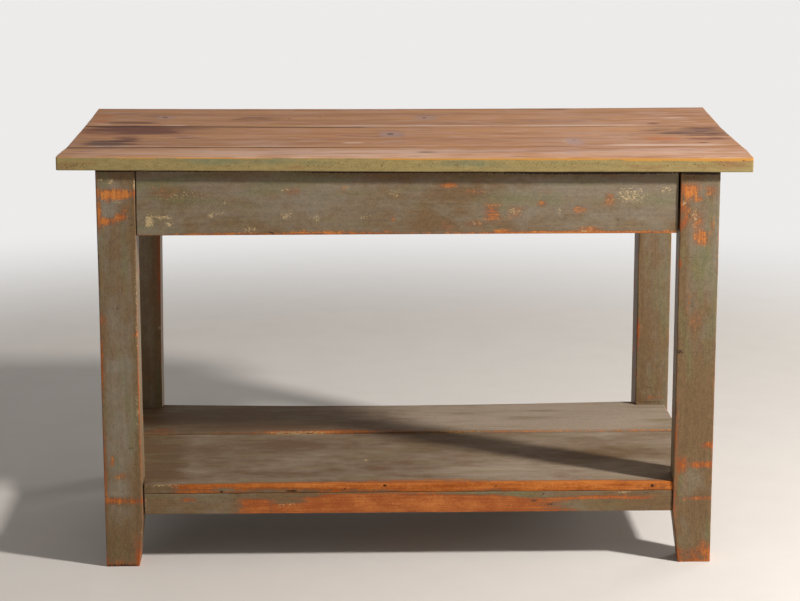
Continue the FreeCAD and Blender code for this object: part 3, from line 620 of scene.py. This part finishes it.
def makeRail(name, look, marks=None, random=None, moved=(jointGap, -jointGap), shape=None):
    # a board from leg to leg; marks are on its front, random ones on the face that looks out
    along = 0 if name.endswith(("front", "back")) else 1
    low, high = np.array(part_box(name))
    low[along], high[along] = np.add(legInner[along], moved)
    high[2] -= restGap
    faces = {key: [(1, low[1], places)] for key, places in (marks or {}).items()}
    corner, far = (low[along], low[2]), (high[along], high[2] - look["clear"])
    for key, settings in (random or {}).items():
        outer = (low if low[1 - along] < 0 else high)[1 - along]
        faces[key] = [(1 - along, outer, scatter(corner, far, *settings))]
    paintedBoard(name, low, high, "xy"[along], look, faces, shape=shape)


def apronWarped(points, block, share):  # it leans back to the right, and drops to the left
    back = apronLook["setBack"] * share[:, 0] * (1 - share[:, 1])
    down = apronLook["lowered"] * (1 - share[:, 0]) ** 2 * (1 - share[:, 2])
    return points + np.column_stack([0 * back, back, -down])


makeRail("apron_front", apronLook, apronMarks, moved=apronLook["frontEnds"], shape=apronWarped)
makeRail("apron_back", apronLook, random=apronRandom)
print("aprons made")

railLook = {
    "radius": 0.0016, "steps": (0.004, 0.006, 0.004), "joints": ("x0", "x1"), "jointReach": 0.0016,
    "clear": 0, "frontEnds": (0.0054, -0.0045), "arris": (3, 50),
    "arrises": {"y0z0": (3, 50), "y1z0": (4, 60), "x0y0": (3, 50), "y0z1": (2, 30)},
}
stretcherLook = {**railLook, "joints": ("y0", "y1"), "arris": (3, 60)}
railMarks = {
    "bare": [
        (-10, 116, 270, 23, 130), (-416, 128, 20, 5.5, 120), (330, 127, 110, 4.5, 85),
        (420, 126, 36, 4.5, 80), (-290, 116, 34, 20, 100), (280, 106, 50, 6, 70), (-495, 128, 6, 10, 60),
        (-250, 139, 60, 8, -120), (170, 140, 130, 5, -85), (-225, 124, 30, 4, -90), (240, 137, 60, 8, -100),
        (-50, 141, 220, 3, -70), (-425, 118, 80, 40, -50), (370, 112, 80, 8, -50)
    ],
    "cream": [(400, 136, 20, 3, 50), (-232, 118, 20, 4, 45), (-498, 120, 4, 18, 50)],
    "grime": [(232, 122, 10, 3, 70), (262, 115, 12, 5, 62), (-330, 139, 30, 2, 60), (250, 134, 6, 3, 60),
              (440, 136, 10, 2, 60)],
    "tint": [(-430, 118, 110, 25, 60), (0, 115, 330, 30, 125), (430, 115, 130, 25, 100)],
}


makeRail("shelf_rail_front", railLook, railMarks, moved=railLook["frontEnds"])
makeRail("shelf_rail_back", railLook, random={"bare": (81, 12, ((6, 3), (60, 10)), (40, 90))})
for name in ("stretcher_left", "stretcher_right"):
    makeRail(name, stretcherLook, random={"bare": (seedOf(name), 8, ((5, 3), (50, 9)), (40, 90))})
print("low rails made")

shelfLook = {
    "radius": 0.0018, "steps": (0.004, 0.005, 0.004), "sideGap": 0.0003, "notchCut": 0.0001,
    "nailSunk": 0.0004,
    "ends": {-1: (0.0054, -0.0045), 1: (0.0012, -0.0012)},  # front and back board: insets between the legs
    "notchStart": 0.1,  # the share of the inset at the notch; the rest comes evenly towards the outer edge
    "sag": 0.0055, "sagMiddle": -0.05, "sagReach": 0.51, "sagFrom": 0.10,  # the back board's worn edge
    "arris": (3, 40), "boardArrises": {
        -1: {"y0z1": (4.5, 85), "y0z0": (3, 50), "y1z1": (3, 40)}, 1: {"y0z1": (6, 34), "y1z1": (4, 40)},
    },
}
shelfEdgeMarks = {
    "bare": [
        (50, 148, 500, 11, 100), (-400, 150, 50, 6, 75), (-480, 150, 30, 14, -90), (-349, 147, 19, 4, -70),
        (-230, 143, 80, 3.5, -80), (-80, 143, 60, 3, -70), (140, 142.5, 50, 2, -60)
    ],
    "grime": [(454, 149, 4, 3, 90), (30, 148, 3, 3, 85), (-49, 153, 4, 2.5, 80), (-355, 143, 4, 3, 80),
              (-124, 147, 4, 2.5, 80), (157, 149, 4, 2.5, 80), (-225, 144, 14, 2, 85)],
    "tint": [(0, 148, 540, 12, 80)],
}
shelfFrontMarks = {
    "bare": [(20, -322, 110, 10, 62), (-200, -330, 120, 6, 55), (300, -330, 160, 6, 60)],
    "cream": [(-82, -172, 4, 8, 85), (214, -233, 60, 40, 20), (-466, -336, 32, 6, 55), (100, 29, 60, 4, 60),
              (-220, 29, 80, 4, 70)],
    "grime": [(-70, -188, 3, 30, 55), (-207, -166, 3, 33, 50), (-111, -170, 20, 5, 40),
              (-400, -180, 14, 5, 45), (0, -334, 480, 4, 30)],
    # tint: (-500, -150) is painted shadow of the left leg on the shelf
    "tint": [(-257, -262, 130, 20, 60), (62, -82, 80, 50, 70), (-30, -290, 120, 14, 60),
             (-464, -330, 40, 12, -50), (400, -120, 120, 50, 60), (-500, -150, 60, 190, 180),
             (-190, -160, 300, 200, 45), (260, -270, 190, 60, -50)],
}
shelfBackMarks = {
    "bare": [(-487, 56, 34, 10, 45), (-170, 40, 130, 11, 66), (260, 36, 300, 5, 35)],
    "cream": [(100, 36, 50, 6, 60), (-215, 36, 80, 6, 66)],
    "grime": [(-46, 205, 300, 3.5, 50), (-254, 100, 20, 10, 50), (-118, 89, 12, 12, 40),
              (330, 140, 30, 8, 35), (180, 150, 20, 6, 30)],
    "tint": [(300, 150, 250, 140, -150), (-250, 60, 200, 20, 60), (-350, 160, 250, 120, 120)],
}


def shelfWorn(x, y, look):  # the back board's wear: a cosine along it, rising to its edge
    away = np.clip((x - look["sagMiddle"]) / look["sagReach"], -1, 1)
    return look["sag"] * np.cos(away * pi / 2) * rise(y, look["sagFrom"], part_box("shelf_board_back")[1].y)


def makeShelfBoard(side, look):
    name = "shelf_board_front" if side < 0 else "shelf_board_back"
    low, high = np.array(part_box(name))
    notch, outer, front = legInner[1][side > 0], (low, high)[side > 0][1], low[1]
    low[1], high[1] = front + look["sideGap"], high[1] - look["sideGap"]

    def notched(points, block, share):  # the board narrows to stand between the legs
        beside = (block[:, 1] - notch) / (outer - notch)
        inset = np.clip(look["notchStart"] + (1 - look["notchStart"]) * beside, 0, 1)
        left, right = (inner + end * inset for inner, end in zip(legInner[0], look["ends"][side]))
        along = (points[:, 0] - low[0]) / (high[0] - low[0])
        points = points.copy()
        points[:, 0] = np.where(beside > 0, left + along * (right - left), points[:, 0])
        if side > 0:
            points[:, 2] -= shelfWorn(points[:, 0], points[:, 1], look) * share[:, 2]
        return points

    topFace = shelfFrontMarks if side < 0 else shelfBackMarks
    marks = {key: [(2, high[2], places)] for key, places in topFace.items()}
    for key, places in shelfEdgeMarks.items() if side < 0 else ():
        marks[key].append((1, front, places))
    cuts = {1: (notch - look["notchCut"], notch + look["notchCut"])}
    look = {**look, "arrises": look["boardArrises"][side], "cuts": cuts}
    paintedBoard(name, low, high, "x", look, marks, shelfPaint, notched)


makeShelfBoard(-1, shelfLook)
makeShelfBoard(1, shelfLook)
print("shelf made")

endRailLook = {
    "radius": 0.0014, "steps": (0.006, 0.006, 0.005), "joints": ("y0", "y1"), "jointReach": 0.002, "clear": 0,
    "arris": (3, 60), "arrises": {},
}

for name in (f"end_rail_{level}_{end}" for end in ("left", "right") for level in ("top", "drawer")):
    makeRail(name, endRailLook, random={"bare": (seedOf(name), 6, ((5, 2), (30, 6)), (40, 90))})
print("end rails made")


topLook = {
    "steps": (0.004, 0.004, 0.004), "radius": 0.0026, "wander": ((12, 0.45), (50, 0.35)),
    "leastRadius": 0.0008,
    "leftEnds": ((-0.644, -0.6375), (-0.637, -0.6345), (-0.6345, -0.635)),  # x at each board's front and back
    "rightEnds": ((0.6222, 0.6190), (0.6195, 0.6265), (0.6275, 0.644)),
    "frontJoint": -0.256, "backJoint": (0.064, 0.040, 0.046),  # y; the back joint bends from left to right
    "gap": (0.0012, 0.0003),  # between boards, at the left and at the right
    "hollow": 0.0018, "hollowFrom": -0.33, "hollowReach": 0.64,
    "frontDrop": (0.0012, 0.0045, 0.0060), "frontDropReach": (0.022, 0.022, 0.085),  # left to right
    "underShift": (0.0016, -0.0033, -0.0063), "underReach": 0.016,
    "nailSunk": 0.0006, "cornerRadius": 0.0012, "paintReach": {"x": 0.0018, "y": 0.0030},
    "paintTop": (0.0010, 0.0030),  # the paint starts between these depths under the front arris
    "arrises": {"x0z1": (3, 25), "x1z1": (3, 30), "x0y0": (3, 20), "x1y0": (3, 20)}, "backArris": (3, 60),
    "jointDirt": (6.2, 135), "groundFade": 0.012,
    "painted": (("x0", "x1", "y0"), ("x0", "x1"), ("x0", "x1", "y1")),  # each board's outer faces
    "joints": (("y1z1",), ("y0z1", "y1z1"), ("y0z1",)),
}
topMarks = {
    # pale: partly lighter wood, partly painted sheen on the front board and painted highlights along the
    # joints
    "pale": [
        (-220, -329, 450, 53, 66), (430, -329, 260, 53, 52), (420, 50, 300, 420, 38), (20, 20, 180, 420, 26),
        (-562, -232, 38, 10, 100), (-599, 98, 18, 12, 80), (-457, 82, 30, 14, 70), (-9, 72, 240, 14, 75),
        (355, 67, 145, 11, 90), (-105, -192, 22, 11, 90), (482, -236, 127, 18, 85), (557, 184, 32, 13, 85),
        (575, 122, 24, 11, 60), (308, -183, 23, 60, 50), (331, 284, 84, 60, 40), (-271, -190, 122, 47, 30),
        (501, -5, 11, 50, 40), (-340, -240, 200, 8, 60)
    ],
    "warm": [
        (-609, 225, 18, 24, 80), (-612, 153, 20, 28, 80), (486, -147, 42, 28, 85), (565, -149, 50, 15, 60),
        (-59, -111, 10, 22, 50), (-616, -24, 20, 23, 70), (-582, -88, 40, 24, 60), (-91, -86, 116, 90, 30)
    ],
    "purple": [
        (-523, 0, 105, 68, 105), (-605, -10, 36, 55, 75), (-430, 12, 65, 34, 62), (540, -40, 85, 50, 60),
        (-536, -129, 27, 80, 60), (-503, 210, 41, 54, 40), (-548, 121, 43, 14, 80), (-293, 189, 63, 36, 50),
        (501, 94, 15, 12, 90), (585, 14, 55, 34, 66), (520, 50, 50, 40, 35), (574, -43, 16, 14, 90),
        (577, -94, 50, 12, 80), (572, -145, 45, 16, 75), (552, -205, 11, 7, 80), (322, 344, 26, 9, 50),
        (297, 140, 101, 49, 30)
    ],
    "slate": [(-569, -198, 42, 52, 90), (550, -35, 85, 66, 62), (-500, 219, 37, 38, 35),
              (49, 212, 29, 50, 40), (-31, -66, 29, 52, 50), (29, -327, 20, 11, 80), (274, 348, 63, 20, 40)],
    "halo": [(560, -30, 65, 50, 42), (-483, 209, 21, 23, 90), (48, 203, 29, 42, 70), (-31, -66, 25, 50, 80),
             (313, -183, 17, 56, 90), (292, -323, 20, 34, 50)],
    "knot": [(-485, 214, 6, 11, 100), (45, 203, 5, 11, 90), (-32, -62, 8, 17, 80), (-231, 194, 3, 10, 80),
             (-169, 219, 3, 10, 80), (315, -158, 6, 11, 60), (312, -206, 6, 7, 50), (531, -348, 4, 9, 60)],
}
knotPlaces = ((-485, 214, 16), (45, 203, 14), (-32, -62, 18), (-231, 194, 9), (313, -183, 22))
arrisGround = (  # rubbed through under the front arris: middle, half length, depth, reach, strength
    (-500, 40, 3, 1.2, 75), (-340, 90, 2.8, 1.3, 85), (-130, 100, 2.6, 1.1, 62), (80, 140, 3.2, 1.8, 95),
    (300, 120, 3.4, 2.4, 95), (500, 125, 4, 3.2, 100),
)
topEdgeMarks = {
    "bare": [(-600, 756, 10, 3.5, 40), (-580, 771, 20, 3, 40)],
    "grime": [(604, 766.5, 3, 1.8, 100), (68, 766, 3, 2, 60), (-100, 758, 5, 2, 60)],
    "edgeBrown": [(-605, 762, 46, 10, 50), (-500, 758, 30, 5, 70), (420, 758, 120, 6, 60),
                  (590, 762, 40, 10, 60), (-120, 757, 90, 4, 60)],
    "edgeGrey": [(-318, 769, 105, 7, 90), (95, 766, 70, 6, 70), (305, 764, 80, 5, 50),
                 (-180, 766, 40, 6, 60)],
    "specks": [(-615, 762, 30, 6, 75), (-160, 762, 60, 8, 62), (-60, 761, 60, 7, 55), (60, 763, 90, 7, 55),
               (-400, 761, 190, 5, 52), (300, 762, 180, 7, 55), (520, 762, 110, 7, 55)],
}


topFront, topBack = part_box("top_board_front")[0].y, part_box("top_board_back")[1].y


def hollowDepth(x, y, look):  # the scrubbed hollow: an arch along the table, rising towards the back
    arch = np.clip(1 - (x / look["hollowReach"]) ** 2, 0, 1)
    return look["hollow"] * arch * rise(y, look["hollowFrom"], topBack)


def topShape(points, index, look, low, high):  # slanting ends and joints, a hollow top and a worn front edge
    share, across, up = ((points - low) / (high - low)).T
    left, right = (np.interp(across, (0, 1), look[key][index]) for key in ("leftEnds", "rightEnds"))
    x = left + share * (right - left)
    along = (points[:, 0] - look["leftEnds"][0][0]) / (look["rightEnds"][2][1] - look["leftEnds"][0][0])
    gap = np.interp(along, (0, 1), look["gap"]) / 2
    lines = (topFront, look["frontJoint"], np.interp(along, (0, 0.5, 1), look["backJoint"]), topBack)
    start, stop = lines[index] + gap * (index > 0), lines[index + 1] - gap * (index < 2)
    y = start + across * (stop - start)
    if index == 0:  # the outer corners are rounded in plan
        inside = np.clip(1 - (y - topFront) / look["cornerRadius"], 0, 1)
        x += look["cornerRadius"] * (1 - np.sqrt(1 - inside ** 2)) * (1 - 2 * share)
    reach = np.interp(along, (0, 0.6, 1), look["frontDropReach"])
    drop = np.interp(along, (0, 0.5, 1), look["frontDrop"]) * rise(-y, -topFront - reach, -topFront)
    lift = np.interp(along, (0, 0.5, 1), look["underShift"])
    lift *= rise(-y, -topFront - look["underReach"], -topFront)
    return np.column_stack([x, y, points[:, 2] - (hollowDepth(x, y, look) + drop) * up + lift * (1 - up)])


def bowedGrain(points, seed):  # the grain swings out round each knot, most strongly close to it
    grain = grainField(points, "x", seed)
    for x, y, size in np.array(knotPlaces) * mm:
        dx, dy = (points[:, 0] - x) / (5 * size), (points[:, 1] - y) / (2.2 * size)
        grain[:, 1] -= (points[:, 1] - y) * 0.75 * np.exp(-dx ** 2 - dy ** 2)
    return grain


def topFields(index, look, points, block, low, high, seed):
    fields = {key: blots(points, 2, high[2], marks, depth=0.05) for key, marks in topMarks.items()}
    paint = [np.exp(-(faceDistance(block, low, high, key) / look["paintReach"][key[0]]) ** 2)
             for key in look["painted"][index]]
    fields["paint"] = np.max(paint, axis=0) * rise(faceDistance(block, low, high, "z1"), *look["paintTop"])
    arrises = {**look["arrises"], **({"y1z1": look["backArris"]} if index == 2 else {})}
    wear = arrisWear(block, low, high, arrises)
    along = rise(points[:, 0], -0.66, 0.3)
    dirt = arrisWear(block, low, high, dict.fromkeys(look["joints"][index], look["jointDirt"]))
    dirt = dirt * (1 - 0.55 * along) * (0.9 + 0.6 * cloud(points, 6, seed + 8))
    for key in ("edgeBrown", "edgeGrey", "specks"):
        fields[key] = blots(points, 1, low[1], topEdgeMarks[key])
    if index == 0:
        away = faceDistance(block, low, high, "z1")
        for *place, strength in arrisGround:
            middle, half, depth, reach = np.array(place) * mm
            window = rise(half - np.abs(points[:, 0] - middle), -look["groundFade"], look["groundFade"])
            wear = np.maximum(wear, strength * percent * window * np.exp(-((away - depth) / reach) ** 2))
        patchy = 1 + 0.3 * cloud(points, 40, seed + 6) + 0.45 * cloud(points, 11, seed + 7)
        wear = wear * patchy + blots(points, 1, low[1], topEdgeMarks["bare"])
        dirt = dirt + blots(points, 1, low[1], topEdgeMarks["grime"])
    fields.update(bare=wear, grime=dirt, grain=bowedGrain(points, seed))
    return fields


def makeTopBoard(index, look):
    name = "top_board_" + ("front", "middle", "back")[index]
    low, high = np.array(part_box(name))
    edges = (topFront, look["frontJoint"], np.mean(look["backJoint"]), topBack)
    low[1], high[1] = edges[index:index + 2]
    seed = seedOf(name)
    block, quads, rounded = softBlock(low, high, look, seed)
    points = topShape(rounded, index, look, low, high)
    fields = topFields(index, look, points, block, low, high, seed)
    makePiece(name, points, [quads], fields, scrubbed, "table", [name])


def makeNailHeads(name, nodeName, depth):  # the nails as they are, sunk by depth(x, y)
    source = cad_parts[nodeName].data
    points = np.empty(len(source.vertices) * 3, np.float32)
    source.vertices.foreach_get("co", points)
    corners = np.empty(len(source.loops), np.int32)
    source.loops.foreach_get("vertex_index", corners)
    merged, order = np.unique(np.round(points.reshape(-1, 3), 6), axis=0, return_inverse=True)
    merged = merged.astype(float)
    merged[:, 2] -= depth(*merged[:, :2].T)
    faces = [order.ravel()[corners].reshape(-1, 3)]
    makePiece(name, merged, faces, {}, iron, "table", [nodeName])


for index in range(3):
    makeTopBoard(index, topLook)
for kind, worn, look in (("top", hollowDepth, topLook), ("shelf", shelfWorn, shelfLook)):
    makeNailHeads(kind + "_nail_heads", kind + "_nails", lambda x, y: worn(x, y, look) + look["nailSunk"])
print("top made, nails sunk")


drawerLook = {"paintDepth": 0.006, "wearReach": 0.007, "wear": 0.75}


def drawerFrontFields(name, look):  # from Object coordinates: paint on the outer face, worn at its edges
    low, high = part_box(name)
    outer = low.x if low.x < 0 else high.x

    def source(sheet):
        place = sheet.place()
        x, y, z = (sheet.add("SeparateXYZ", None, {0: place}, output=number) for number in range(3))
        inside = (y - low.y).smaller(high.y - y).smaller(z - low.z).smaller(high.z - z)
        depth = abs(x - outer)
        wear = (1 - inside * (1 / look["wearReach"])).larger(0) * look["wear"]
        clouds = sheet.noise(place, 7, 7, 2)
        grain = sheet.add("Mapping", None, {"Vector": place, "Rotation": (0, 0, -pi / 2)})
        return {"grain": grain, "bare": wear + clouds * 0.18, "cream": clouds * -0.2, "grime": clouds * 0.1,
                "tint": clouds * 0.6, "raw": depth.rise(look["paintDepth"], look["paintDepth"] + 0.003)}
    return source


lengthwise = ("runner", "guide", "kicker", "side_front", "side_back")  # their grain runs along the table


def setFinish(node, finish):
    for place in node.material_slots:
        place.material = finish
    if not node.material_slots:
        node.data.materials.append(finish)


for name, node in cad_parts.items():
    if name in ("drawer_left_front", "drawer_right_front"):
        setFinish(node, paintedFinish("painted_" + name, paintLook, drawerFrontFields(name, drawerLook)))
    elif name.endswith(("nails", "pins")):
        setFinish(node, iron)
    else:
        setFinish(node, barePine["x" if any(part in name for part in lengthwise) else "y"])

knobLook = {
    "rings": 40, "sides": 64, "rim": (16.5, 2.5),  # radius of the widest part, and how far its wear reaches
    "profile": (  # share of the knob's reach, and radius
        (0, 10.4), (0.03, 10.8), (0.07, 9.8), (0.12, 9.2), (0.26, 9.8), (0.4, 12.8), (0.5, 15.6),
        (0.56, 16.5), (0.66, 16.5), (0.74, 15.8), (0.86, 12.8), (0.95, 8), (0.99, 3.4),
    ),
}


def makeKnob(end, look):  # a turned profile carried round an axis, closed at both ends
    body = "drawer_left" if end < 0 else "drawer_right"
    name = body + "_knob"
    low, high = np.array(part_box(name))
    middle = (low + high) / 2
    face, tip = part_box(body + "_front")[end > 0].x, (low, high)[end > 0][0]
    shares, radii = np.array(look["profile"]).T
    spread = (1 - np.cos(np.linspace(0, pi, look["rings"]))) / 2 * shares[-1]
    radius = np.interp(spread, shares, radii * mm)
    radius = np.convolve(np.pad(radius, 1, mode="edge"), (0.25, 0.5, 0.25), mode="valid")
    turn = np.linspace(0, 2 * pi, look["sides"], endpoint=False)
    x = np.repeat(face + spread * (tip - face), len(turn))
    y = middle[1] + np.outer(radius, np.cos(turn)).ravel()
    z = middle[2] + np.outer(radius, np.sin(turn)).ravel()
    points = np.vstack([np.column_stack([x, y, z]), [face, *middle[1:]], [tip, *middle[1:]]])
    index = np.arange(len(x)).reshape(-1, len(turn))
    following = np.roll(index, -1, axis=1)
    ring = np.stack([index[:-1], index[1:], following[1:], following[:-1]], axis=-1).reshape(-1, 4)
    foot = np.column_stack([index[0], following[0], np.full(len(turn), len(x))])
    crown = np.column_stack([following[-1], index[-1], np.full(len(turn), len(x) + 1)])
    faces = [kind[:, ::end] for kind in (ring, foot, crown)]
    away = np.linalg.norm(points[:, 1:] - middle[1:], axis=1) / mm
    worn = 0.6 * np.exp(-((away - look["rim"][0]) / look["rim"][1]) ** 2) + 0.1
    fields = {"bare": worn, **dict.fromkeys(("cream", "grime", "tint"), 0 * worn)}
    fields["grain"] = grainField(points, "y", seedOf(name))
    makePiece(name, points, faces, fields, painted, body, [name])


makeKnob(-1, knobLook)
makeKnob(1, knobLook)
print("drawers finished")


stageLook = {
    **palette(floor=(212, 204, 195), dust=(198, 190, 182), background=(236, 235, 234)),
    "floorSize": 14.0, "dustCells": 9, "roughness": 0.7, "relief": 0.0003, "worldStrength": 0.22,
    "fade": (1.7, 3.6),  # metres from the middle: from the real floor to the plain background
}


def seenDirectly(sheet):  # 1 for what the camera sees, straight or mirrored or through glass
    seen = [sheet.add("LightPath", output=f"Is {kind} Ray") for kind in ("Camera", "Glossy", "Transmission")]
    return seen[0].larger(seen[1]).larger(seen[2])


def makeFloor(look):  # a square sheet that turns into the plain background away from the table
    half = look["floorSize"] / 2
    corners = np.multiply([(-1, -1, 0), (1, -1, 0), (1, 1, 0), (-1, 1, 0)], half)
    mesh = makeMesh("floor", corners, [np.arange(4)[None]], {})
    sheet = newSheet("floor")
    place = sheet.place()
    dust = sheet.noise(place, look["dustCells"], look["dustCells"], 5)
    colour = sheet.mix(dust.rise(-1, 2) * 0.3, look["floor"], look["dust"])
    real = sheet.shader(colour, dust * 0.03 + look["roughness"], dust, look["relief"])
    away = sheet.add("VectorMath", {"operation": "LENGTH"}, {0: place}, output="Value")
    plain = sheet.add("Emission", None, {"Color": look["background"]})
    factor = away.rise(*look["fade"]) * seenDirectly(sheet)
    shader = sheet.add("MixShader", None, {0: factor, 1: real, 2: plain})
    sheet.add("OutputMaterial", None, {"Surface": shader})
    mesh.materials.append(sheet.owner)
    floor = bpy.data.objects.new("floor", mesh)
    bpy.context.scene.collection.objects.link(floor)


def makeWorld(look):  # even grey light, and a pale background for the camera and in reflections
    world = bpy.data.worlds.new("studio")
    bpy.context.scene.world = world
    sheet = Sheet(world)
    light = sheet.add("Background", None, {"Color": (1, 1, 1, 1), "Strength": look["worldStrength"]})
    shown = sheet.add("Background", None, {"Color": look["background"]})
    choice = sheet.add("MixShader", None, {0: seenDirectly(sheet), 1: light, 2: shown})
    sheet.add("OutputWorld", None, {"Surface": choice})


lamps = {  # place, size across and power in watts; each lamp looks at the middle of the table
    "key": ((3.067, -2.003, 2.500), 0.38, 250),
    "fill": ((-3.2, -3.6, 1.6), 2.6, 12),
    "rear": ((3.4, 2.6, 0.8), 1.6, 70),
}


def makeLamps(settings, target):
    for name, (place, size, power) in settings.items():
        lamp = bpy.data.lights.new(name, "AREA")
        lamp.shape = "DISK"
        lamp.size = size
        lamp.energy = power
        holder = bpy.data.objects.new(name, lamp)
        bpy.context.scene.collection.objects.link(holder)
        holder.location = place
        holder.rotation_euler = (Vector(target) - Vector(place)).to_track_quat("-Z", "Y").to_euler()


cameraLook = {
    "place": (-0.1537, -4.5823, 1.3623), "yaw": 1.788, "pitch": 11.400, "roll": 0.075,  # degrees
    "lens": 105.69, "sensor": 36.0,
}


def makeCamera(look):
    camera = bpy.data.objects.new("camera", bpy.data.cameras.new("camera"))
    camera.data.lens, camera.data.sensor_width = look["lens"], look["sensor"]
    angles = (("Z", -look["yaw"]), ("X", 90 - look["pitch"]), ("Z", look["roll"]))
    yaw, pitch, roll = (Matrix.Rotation(radians(angle), 4, axis) for axis, angle in angles)
    camera.matrix_world = Matrix.Translation(look["place"]) @ (yaw @ pitch) @ roll
    bpy.context.scene.collection.objects.link(camera)
    bpy.context.scene.camera = camera


makeFloor(stageLook)
makeWorld(stageLook)
makeLamps(lamps, (0, 0, 0.4))
makeCamera(cameraLook)
bpy.context.scene.view_settings.view_transform = "Standard"
print("stage set")
